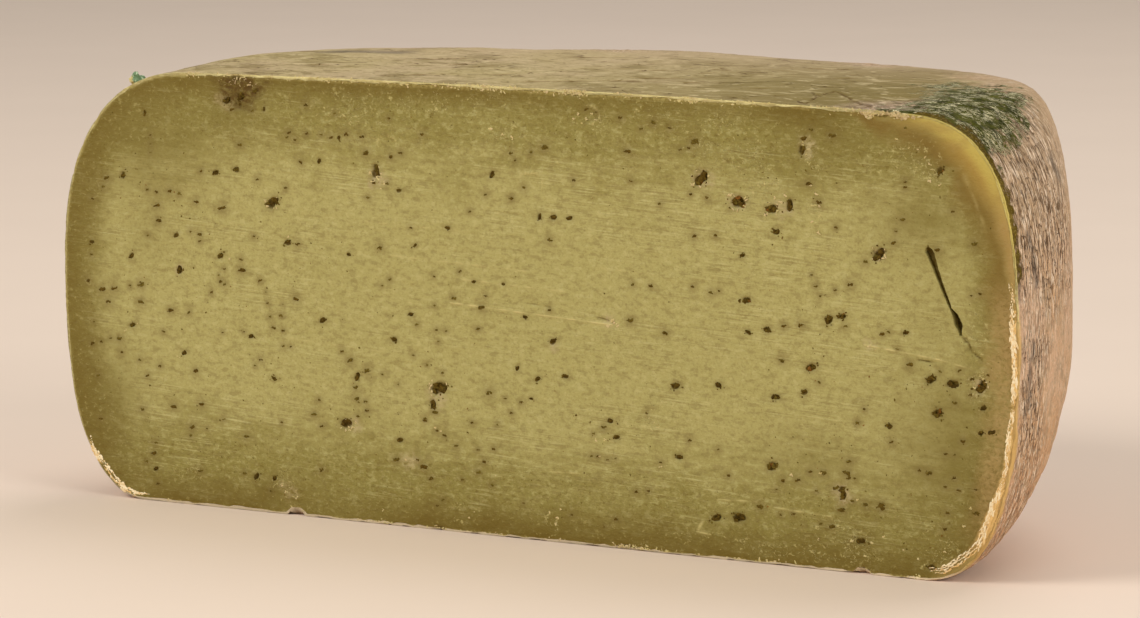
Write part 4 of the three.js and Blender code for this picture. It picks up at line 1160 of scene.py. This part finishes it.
class Paint:
    """A material's node tree, with a short call for each kind of node used here.

    Wherever a value is wanted it may be a number, a node's output, the name of a mark, or a ramp:
    a tuple of a value, low, high and perhaps start and end."""

    def __init__(self, name):
        self.material = bpy.data.materials.new(name)
        self.material.use_nodes = True
        self.tree = self.material.node_tree
        self.shader = self.tree.nodes["Principled BSDF"]
        self.named = {}  # values that go by a name here, like the marks
        found = self.node("TexCoord", {}).outputs["Object"]
        self.at = self.node("VectorMath", {0: found, "Scale": 1 / MM}, operation="SCALE").outputs[0]

    def put(self, socket, value):
        if isinstance(value, tuple) and not isinstance(value[0], (int, float)):
            value = self.ramp(*value)
        if isinstance(value, str):
            value = self.named[value] if value in self.named else self.mark(value)
        if isinstance(value, bpy.types.NodeSocket):
            self.tree.links.new(value, socket)
        else:
            socket.default_value = value

    def node(self, kind, inputs, **settings):
        made = self.tree.nodes.new("ShaderNode" + kind)
        for key, value in settings.items():
            setattr(made, key, value)
        for key, value in inputs.items():
            self.put(made.inputs[key], value)
        return made

    def mark(self, name, kind="Fac"):
        return self.node("Attribute", {}, attribute_name=name).outputs[kind]

    def axes(self):
        """The x, y and z of the place on the object, in mm."""
        return self.node("SeparateXYZ", {0: self.at}).outputs

    def noise(self, size, detail=2.0, roughness=0.5, distortion=0.0, turn=(0, 0, 0), at=None):
        """Noise from 0 to 1, with lumps of a size in mm, or of one for each axis."""
        size = size if isinstance(size, tuple) else (size,) * 3
        at = self.at if at is None else at
        inputs = {"Vector": at, "Scale": size, "Rotation": tuple(np.radians(turn))}
        scaled = self.node("Mapping", inputs, vector_type="TEXTURE").outputs[0]
        inputs = {"Vector": scaled, "Scale": 1.0, "Detail": detail, "Roughness": roughness,
                  "Distortion": distortion}
        return self.node("TexNoise", inputs).outputs["Fac"]

    def curls(self, size, width):
        """Thin lines that curl between lumps of a size."""
        middle = self.maths("ABSOLUTE", self.plus(self.noise(size, 1.5, 0.5, 0.8), -0.5))
        return self.ramp(middle, width, width / 3)

    def swing(self, noise, reach):
        """Noise that goes to either side of 0, a reach apart."""
        return self.times(self.plus(noise, -0.5), reach)

    def maths(self, operation, a, b=0.0):
        return self.node("Math", {0: a, 1: b}, operation=operation).outputs[0]

    def times(self, *factors):
        total = factors[0]
        for factor in factors[1:]:
            total = self.maths("MULTIPLY", total, factor)
        return total

    def plus(self, *terms):
        total = terms[0]
        for term in terms[1:]:
            total = self.maths("ADD", total, term)
        return total

    def weighed(self, *products):
        """The sum of some products."""
        return self.plus(*(self.times(*product) for product in products))

    def ramp(self, value, low, high, start=0.0, end=1.0):
        """A smooth step from start to end as the value goes from low to high."""
        inputs = {"Value": value, "From Min": low, "From Max": high, "To Min": start, "To Max": end}
        return self.node("MapRange", inputs, interpolation_type="SMOOTHSTEP").outputs["Result"]

    def layered(self, base, *layers):
        """A colour with layers over it, each a colour and the factors of its share."""
        for over, *factors in layers:
            made = self.node("Mix", {"Factor": self.times(*factors)}, data_type="RGBA")
            for index, side in ((6, base), (7, over)):
                self.put(made.inputs[index], colour(side) if isinstance(side, tuple) else side)
            base = made.outputs[2]
        return base

    def bump(self, height, strength=1.0):
        """A bump from a height in mm."""
        return self.node("Bump", {"Height": height, "Distance": MM, "Strength": strength}).outputs["Normal"]

    def finish(self, base, roughness, normal, **settings):
        settings.update(base_color=base, roughness=roughness, normal=normal)
        for name, value in settings.items():
            self.put(self.shader.inputs[name.replace("_", " ").title().replace("Ior", "IOR")], value)
        return self.material


# Colours of the paste, as a screen has them
PASTE = (145, 134, 69)
PASTE_MIDDLE = (177, 167, 104)
PASTE_PALE = (202, 194, 134)
SHADED = (124, 110, 50)
MARGIN = (111, 91, 29)
MARGIN_PALE = (148, 132, 70)
GOLD = (170, 138, 66)
GOLD_EDGE = (192, 170, 86)
KHAKI = (154, 132, 68)
TAN = (170, 141, 84)
SEAM = (174, 146, 92)
EDGING = (196, 182, 118)
BROWN = (128, 104, 45)
FLANK = (212, 174, 108)
FLANK_LOW = (160, 132, 70)
FLANK_FOOT = (152, 138, 76)
HAZE = (186, 168, 124)
# Painted shade in the pits, the slit and the cracks
PIT_SHADE = (96, 75, 12)
HALO = (127, 110, 60)
PALE = (212, 197, 132)
LIP = (200, 182, 112)
BRUISED = (88, 64, 18)
# Of the herbs, the crumbs and the torn rim
HERB = (102, 80, 22)
HERB_DARK = (68, 51, 10)
HERB_OLIVE = (118, 102, 38)
HERB_RED = (140, 92, 36)
LEAF = (100, 130, 88)
LEAF_MINT = (192, 212, 174)
CRUMB = (213, 199, 137)
CRUMB_PINK = (210, 187, 142)
CRUMB_DULL = (176, 152, 112)
TORN = (255, 238, 200)
TORN_OCHRE = (234, 194, 124)
# Of the rind
MOULD = (212, 176, 145)
MOULD_WARM = (204, 166, 128)
# Painted shade in the rind's furrows, pocks and sunken places
RIND_HOLLOW_SHADE = (78, 55, 33)
MOULD_PALE = (240, 218, 192)
MOULD_GREY = (170, 149, 120)
MOULD_LOW = (200, 150, 110)
GREEN = (92, 92, 32)
GREEN_DEEP = (54, 58, 16)
SCRATCHED = (238, 228, 186)
TOP = (182, 163, 117)
TOP_OLIVE = (133, 116, 68)
TOP_LIGHT = (206, 187, 144)
TOP_PINK = (188, 166, 128)
# A painted sheen, paler and pinker, towards the back of the top
TOP_BACK_SHEEN = (194, 168, 138)
BACK_SHEEN_FADES = (-30, 50)  # y in the frame, in mm, over which the top turns paler
# Painted shade in the top's creases, small cracks and dashes
CREASE_SHADE = (84, 56, 12)
STRIP = (104, 86, 26)
STRIP_BROWN = (84, 66, 32)
STRIP_PALE = (150, 128, 66)
SMEAR = (136, 112, 80)
SPOT = (96, 88, 80)
# The rim line round the cut: the rind's own pale cut edge, together with a painted highlight along it
RIM = (228, 214, 152)
RIM_WORN = (200, 182, 122)
RIM_PINK = (236, 216, 186)
RIM_GOLD = (238, 216, 120)
# And of the floor
FLOOR = (236, 216, 200)
FLOOR_PALE = (240, 220, 204)


def paste_material():
    paint = Paint("paste")
    height = paint.axes()[2]
    blotches = paint.noise((9, 5, 5), 3, 0.6)
    mottles = paint.noise((2.4, 2, 1.3), 3, 0.6)
    grain = paint.noise(0.6, 3, 0.7)
    crumbly = paint.noise((1.3, 1.3, 1), 3, 0.7, 0.4)
    bands = paint.noise((26, 6, 2), 3, 0.6, 0.2, turn=(0, 3, 0))
    lines = paint.noise((13, 5, 0.42), 3, 0.65, 0.2, turn=(0, 3, 0))
    lined = (paint.noise((30, 8, 7), 3, 0.6), 0.44, 0.6, 0.12, 1)
    lined = paint.times(lined, (blotches, 0.36, 0.56, 0.3, 1))
    # The middle mark is painted light, lighter in the face's middle than at its top and bottom; the tone
    # adds random clouds, blotches and bands to it.
    outer = paint.ramp("middle", 0.8, 0.15)
    clouds = paint.noise(24, 3)
    tone = paint.plus("middle", *(paint.swing(lumps, 0.9) for lumps in (clouds, blotches, bands)))
    edged = paint.layered(MARGIN, (MARGIN_PALE, (crumbly, 0.56, 0.72)))
    golden = paint.layered(
        GOLD,
        (TAN, "tan", (crumbly, 0.3, 0.6, 0.7, 1)),
        (KHAKI, "khaki"),
        (GOLD_EDGE, "glow"),
        (FLANK_LOW, (blotches, 0.48, 0.66), 0.5),
    )
    flank = paint.layered(
        FLANK_LOW,
        (FLANK, (crumbly, 0.4, 0.65)),
        (TORN_OCHRE, (height, 42, 28, 0, 0.75)),
        (FLANK_FOOT, (height, 12, 4, 0, 0.8)),
    )
    curls = paint.times(
        paint.curls((1.6, 1.6, 1.1), 0.035), (blotches, 0.46, 0.56), (grain, 0.45, 0.55), "curls",
    )
    # The pits, the slit and the cracks are painted dark: painted shade in those hollows.
    dark = paint.maths("MAXIMUM", ("pit", 0.25, 0.9), "crack")
    base = paint.layered(
        PASTE,
        (PASTE_MIDDLE, (tone, 0, 0.95)),
        (HALO, (mottles, 0.48, 0.34), 0.36),
        (PASTE_PALE, (mottles, 0.54, 0.66), 0.32),
        (PASTE_PALE, (lines, 0.56, 0.64), lined, 0.56),
        (HALO, (lines, 0.46, 0.38), lined, 0.34),
        (HALO, (grain, 0.5, 0.34), 0.3),
        (PASTE_PALE, (grain, 0.56, 0.68), 0.22),
        (SHADED, "shade", (blotches, 0.3, 0.7, 1, 0.7)),
        (HALO, "halo", (crumbly, 0.3, 0.6, 0.55, 0.95)),
        (HAZE, "haze", (crumbly, 0.4, 0.6, 0.15, 0.75)),
        (PASTE_PALE, (crumbly, 0.56, 0.66), outer, 0.22),
        # Darker near the outline: the paste's own margin, together with painted shade where the light falls
        # off there.
        (MARGIN, (crumbly, 0.44, 0.34), outer, 0.45),
        (edged, "margin", (blotches, 0.25, 0.7, 1, 0.8)),
        # A browner band inside the gold, partly painted shade where the edge is rounded back.
        (BROWN, "brown", (blotches, 0.3, 0.7, 1, 0.8)),
        (golden, "gold"),
        (EDGING, "edging", 0.8),
        (SEAM, "seam", (crumbly, 0.35, 0.6, 0.3, 0.8)),
        (PALE, curls, 0.7),
        (PALE, (crumbly, 0.61, 0.69), "curls", 0.5),
        (PALE, "flake", (grain, 0.3, 0.6, 0.3, 0.9)),
        (PALE, "scratch", 0.95),
        (BRUISED, "bruise", (crumbly, 0.4, 0.58, 0.95, 0.45)),
        (flank, "flank"),
        (paint.layered(LIP, (FLANK, "flank")), "lip", (grain, 0.35, 0.65, 0.1, 0.8)),
        (PIT_SHADE, dark, (crumbly, 0.35, 0.6, 1, 0.78)),
    )
    relief = paint.weighed(
        (lines, lined, 0.12), (grain, 0.12), (mottles, 0.1), (crumbly, outer, 0.3), (curls, 0.12),
        ("scratch", 0.1),
    )
    return paint.finish(
        base, (grain, 0.3, 0.7, 0.5, 0.6), paint.bump(relief, 0.9), specular_ior_level=0.18,
        subsurface_weight=0.08, subsurface_radius=(1.0, 0.7, 0.3), subsurface_scale=0.0015,
    )


def mould_paint(paint, run):
    """The colour of the side's dry mould, and the height of its fine furrows."""
    blotches = paint.noise(5, 4, 0.6)
    fibres = paint.noise((0.5, 3.8, 1), 3, 0.7, 0.25, at=run)
    patchy = paint.noise((5, 9, 1), 3, 0.6, at=run)
    speckles = paint.noise(0.9, 3, 0.7)
    strength = paint.times("rough", (patchy, 0.34, 0.54, 0.5, 1), ("upper", 0.2, 1, 1, 0.85))
    furrows = paint.times((paint.noise((0.6, 4.4, 1), 3, 0.7, 0.3, at=run), 0.48, 0.44), strength)
    pocks = paint.times((paint.noise((0.75, 1.1, 1), 2, 0.6, at=run), 0.6, 0.64), strength)
    base = paint.layered(
        MOULD,
        (MOULD_WARM, (paint.noise(18, 3), 0.35, 0.7)),
        (MOULD_LOW, (paint.axes()[2], 42, 10, 0, 0.7)),
        (MOULD_GREY, (blotches, 0.5, 0.68), 0.55),
        (MOULD_GREY, "upper", (blotches, 0.3, 0.7, 0.6, 0.4)),
        (MOULD_GREY, (speckles, 0.5, 0.38), 0.5),
        (MOULD_PALE, (speckles, 0.58, 0.68), 0.3),
        (MOULD_PALE, (fibres, 0.52, 0.59), ("rough", 0.05, 0.6, 0.3, 0.95)),
        # The furrows, pocks and sunken places are painted dark: painted shade in them.
        (RIND_HOLLOW_SHADE, paint.maths("MAXIMUM", furrows, pocks), 0.92),
        (RIND_HOLLOW_SHADE, "hollow", 0.4),
    )
    return base, paint.weighed(
        (furrows, -0.4), (pocks, -0.3), (fibres, 0.3), (blotches, 0.25), (speckles, 0.2),
    )


def green_paint(paint, run):
    """The colour of the bare dark green shoulder, with pale hatched scratches, and their height."""
    hatch = paint.ramp(paint.noise((0.8, 0.8, 0.6), 3, 0.7), 0.58, 0.66, 0, 0.8)
    for tilt, threshold in ((14, 0.57), (-24, 0.57), (56, 0.59)):
        strokes = paint.noise((0.32, 2.2, 1), 3, 0.65, 0.5, turn=(0, 0, tilt), at=run)
        hatch = paint.maths("MAXIMUM", (strokes, threshold, threshold + 0.02), hatch)
    base = paint.layered(
        GREEN,
        (GREEN_DEEP, (paint.noise(3, 4, 0.65), 0.4, 0.6)),
        (SCRATCHED, hatch, (paint.noise(4, 3, 0.6), 0.42, 0.53, 0.08, 1), 0.95),
    )
    return base, paint.times(hatch, 0.3)


def top_paint(paint):
    """The colour of the smooth tan top, with stains, streaks and small cracks painted dark as shade, a
    painted sheen towards the back, and their height.
    """
    x, y, _ = paint.axes()
    blotches = paint.noise((13, 10, 8), 4, 0.65, 0.4)
    streaks = paint.noise((7, 3.4, 5), 4, 0.7, 0.6, turn=(0, 0, 10))
    grain = paint.noise((1.6, 1.3, 1.3), 3, 0.7)
    threads = paint.times(paint.curls((40, 9, 9), 0.02), (blotches, 0.56, 0.46))
    cracks = paint.times(paint.curls((14, 6, 6), 0.012), (blotches, 0.5, 0.56))
    # The small cracks and dashes are sunk and painted dark: painted shade in them.
    dark = paint.maths("MAXIMUM", cracks, (paint.noise((3, 2, 3), 2, 0.5), 0.69, 0.73))
    base = paint.layered(
        TOP,
        (TOP_PINK, (paint.noise(26, 3), 0.35, 0.65)),
        # Paler to the left and more olive to the right: in part a painted sheen from the light at the left.
        (TOP_OLIVE, (x, -20, 80)),
        (TOP_OLIVE, (blotches, 0.5, 0.62), 0.55),
        (TOP_LIGHT, (streaks, 0.54, 0.64), 0.7),
        (TOP_OLIVE, (streaks, 0.44, 0.34), 0.6),
        (TOP_OLIVE, (grain, 0.48, 0.36), 0.55),
        (TOP_LIGHT, threads, 0.4),
        (CREASE_SHADE, dark, 0.75),
        # Paler towards the back: a painted sheen.
        (TOP_BACK_SHEEN, (y, *BACK_SHEEN_FADES), (grain, 0.35, 0.65, 0.75, 0.5)),
    )
    return base, paint.weighed((streaks, 0.4), (grain, 0.2), (dark, -0.3))


def rind_material():
    paint = Paint("rind")
    run, height = paint.mark("travel", "Vector"), paint.axes()[2]
    mould, mould_height = mould_paint(paint, run)
    green, green_height = green_paint(paint, run)
    top, top_height = top_paint(paint)
    mixed = paint.noise(2, 4, 0.75)
    top_here = paint.times((paint.plus("on_top", paint.swing(mixed, 1.2)), 0.1, 0.9), ("on_top", 0, 0.25))
    green_here = paint.times((paint.plus("green", paint.swing(mixed, 3)), 0.3, 0.75), ("green", 0.02, 0.2))
    bare = paint.plus("strip", paint.swing(paint.noise((0.7, 0.7, 1.4), 4, 0.75), 2.2))
    stripped = paint.layered(
        STRIP_BROWN,
        (STRIP, (bare, 0.6, 1)),
        (STRIP_PALE, (paint.noise(0.6, 3, 0.7), 0.52, 0.62), 0.85),
    )
    # The rim is painted pale: the rind's own cut edge, together with a painted highlight along it.
    rim = paint.layered(
        RIM_WORN,
        (RIM, (paint.noise((3, 1, 1), 3, 0.7), 0.38, 0.6)),
        (RIM_PINK, (height, 4, 1, 0, 0.9)),
        (RIM_GOLD, (height, 62, 76), ("strip", 0, 0.3), 0.9),
    )
    base = paint.layered(
        mould,
        (top, top_here),
        (green, green_here),
        (SMEAR, "smear", (mixed, 0.42, 0.6, 0.05, 0.55)),
        (SPOT, "spot", 0.6),
        (stripped, (bare, 0.35, 0.75), ("strip", 0.02, 0.3)),
        # The creases are painted dark: painted shade in them.
        (CREASE_SHADE, "crease", 0.9),
        (rim, ("rim", 0.2, 0.8)),
        (FLANK, "flank"),
    )
    side = paint.node("Mix", {0: top_here, 2: mould_height, 3: top_height}, data_type="FLOAT").outputs[0]
    relief = paint.weighed((side,), (green_here, green_height), ("crease", -0.12))
    return paint.finish(base, (top_here, 0, 1, 0.85, 0.6), paint.bump(relief, 0.9), specular_ior_level=0.05)


def grained_material(name, grain, height, roughness, base, *layers, **settings):
    """A material with one noise, which makes its bump and goes by the name of grain in its layers."""
    paint = Paint(name)
    paint.named["grain"] = paint.noise(*grain)
    bump = paint.bump(paint.times("grain", height))
    return paint.finish(paint.layered(base, *layers), roughness, bump, **settings)


def herb_material():
    return grained_material(
        "herb", (0.45, 3, 0.65), 0.2, 0.7, HERB_DARK,
        (HERB, ("shade", 0, 0.45)),
        (HERB_OLIVE, ("shade", 0.45, 0.9)),
        (HERB_RED, ("shade", 0.93, 0.96)),
        (HERB_DARK, ("grain", 0.35, 0.65, 0, 0.7)),
        specular_ior_level=0.1,
    )


def crumb_material():
    return grained_material(
        "crumb", (0.4, 3, 0.6), 0.12, 0.6, CRUMB,
        (CRUMB_PINK, "shade"),
        (CRUMB_DULL, ("shade", 1, 1.4)),
        (GOLD_EDGE, ("grain", 0.5, 0.35), 0.6),
        specular_ior_level=0.25,
    )


def torn_material():
    return grained_material(
        "torn_rim", (0.7, 3, 0.6), 0.2, 0.55, TORN,
        (TORN_OCHRE, ("shade", 0.25, 0.85)),
        (TORN_OCHRE, ("grain", 0.48, 0.35), 0.7),
        specular_ior_level=0.25,
    )


def leaf_material():
    return grained_material(
        "leaf", (0.8, 3, 0.6), 0.2, 0.4, LEAF,
        (LEAF_MINT, ("grain", 0.5, 0.62)),
        (CRUMB, ("shade", 0.4, 0.8)),
    )


def floor_material():
    return grained_material("floor", (60, 2), 0.01, 0.7, FLOOR, (FLOOR_PALE, "grain"))


low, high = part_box("cheese")
SHIFT = np.array([high.x / MM - AXIS_FROM_RIGHT, low.y / MM, 0])


def framed(*place):
    """A place on the half wheel, in the frame."""
    return Vector((np.array(place) + SHIFT) * MM)


def add_object(name, data):
    made = bpy.data.objects.new(name, data)
    bpy.context.scene.collection.objects.link(made)
    return made


SMOOTH_UNTIL = np.radians(55)  # edges that turn by more than this look sharp


def add_piece(name, slot, material, places, triangles, marks, travel=None):
    mesh = bpy.data.meshes.new(name)
    mesh.from_pydata((places + SHIFT) * MM, [], triangles.tolist())
    mesh.validate()
    for mark, values in marks.items():
        values = values.astype(np.float32)
        mesh.attributes.new(mark, "FLOAT", "POINT").data.foreach_set("value", values)
    if travel is not None:
        travel = travel.astype(np.float32).ravel()
        mesh.attributes.new("travel", "FLOAT_VECTOR", "POINT").data.foreach_set("vector", travel)
    mesh.polygons.foreach_set("use_smooth", np.ones(len(mesh.polygons), bool))
    mesh.set_sharp_from_angle(angle=SMOOTH_UNTIL)
    mesh.materials.append(material)
    piece = add_object(name, mesh)
    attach(piece, "root")
    return piece


FLOOR_REACH = 4.0


def add_floor():
    """A wide plain floor under the half wheel."""
    mesh = bpy.data.meshes.new("floor")
    corners = [(x * FLOOR_REACH, y * FLOOR_REACH, 0) for x, y in ((-1, -1), (1, -1), (1, 1), (-1, 1))]
    mesh.from_pydata(corners, [], [(0, 1, 2, 3)])
    mesh.materials.append(floor_material())
    add_object("floor", mesh)


# The camera, from a fit to the outlines of the half wheel
CAMERA_TURN = np.radians(28.5)
CAMERA_RISE = np.radians(8.3)
CAMERA_AWAY = 1.0905
CAMERA_AIM = (13.2, 0, 52.1)
LENS = 157.9
SENSOR = 36


def add_camera():
    data = bpy.data.cameras.new("camera")
    data.lens, data.sensor_width, data.sensor_fit = LENS, SENSOR, "HORIZONTAL"
    camera = add_object("camera", data)
    level = np.cos(CAMERA_RISE)
    back = Vector((np.sin(CAMERA_TURN) * level, -np.cos(CAMERA_TURN) * level, np.sin(CAMERA_RISE)))
    camera.location = framed(*CAMERA_AIM) + back * CAMERA_AWAY
    camera.rotation_euler = back.to_track_quat("Z", "Y").to_euler()
    bpy.context.scene.camera = camera


# Large soft lights that look at the middle of the half wheel: place and size, watts and tint.
SOFTBOXES = {
    "key": ((-0.9, -1.1, 1.1), 0.9, 16.4, (1, 0.98, 0.92)),
    "side": ((1.5, -0.4, 0.7), 1.0, 11.3, (1, 0.97, 0.91)),
    "top": ((0.2, 0.8, 1.5), 1.2, 8.8, (1, 0.98, 0.94)),
}
LIT_MIDDLE = Vector((0, 0, 0.05))
STUDIO_TINT = (1.0, 0.975, 0.91, 1)
STUDIO_STRENGTH = 0.35


def add_light():
    for name, (place, size, watts, tint) in SOFTBOXES.items():
        data = bpy.data.lights.new(name, "AREA")
        data.shape, data.size, data.energy, data.color = "DISK", size, watts, tint
        light = add_object(name, data)
        light.location = place
        light.rotation_euler = (Vector(place) - LIT_MIDDLE).to_track_quat("Z", "Y").to_euler()
    world = bpy.data.worlds.new("studio")
    world.use_nodes = True
    background = world.node_tree.nodes["Background"].inputs
    background["Color"].default_value, background["Strength"].default_value = STUDIO_TINT, STUDIO_STRENGTH
    bpy.context.scene.world = world
    bpy.context.scene.view_settings.view_transform = "Standard"


add_camera()
add_light()
add_floor()

paste = add_piece("cheese_paste", "paste", paste_material(), *paste_mesh())
rind = add_piece("cheese_rind", "rind", rind_material(), *rind_mesh())
add_piece("herb_flecks", "herb", herb_material(), *fleck_mesh())
add_piece("curd_crumbs", "crumb", crumb_material(), *crumb_mesh())
add_piece("torn_rim", "crumb", torn_material(), *torn_rim_mesh())
add_piece("herb_crumb", "herb", leaf_material(), *herb_crumb_mesh())
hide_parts("cheese")
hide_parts("cheese")
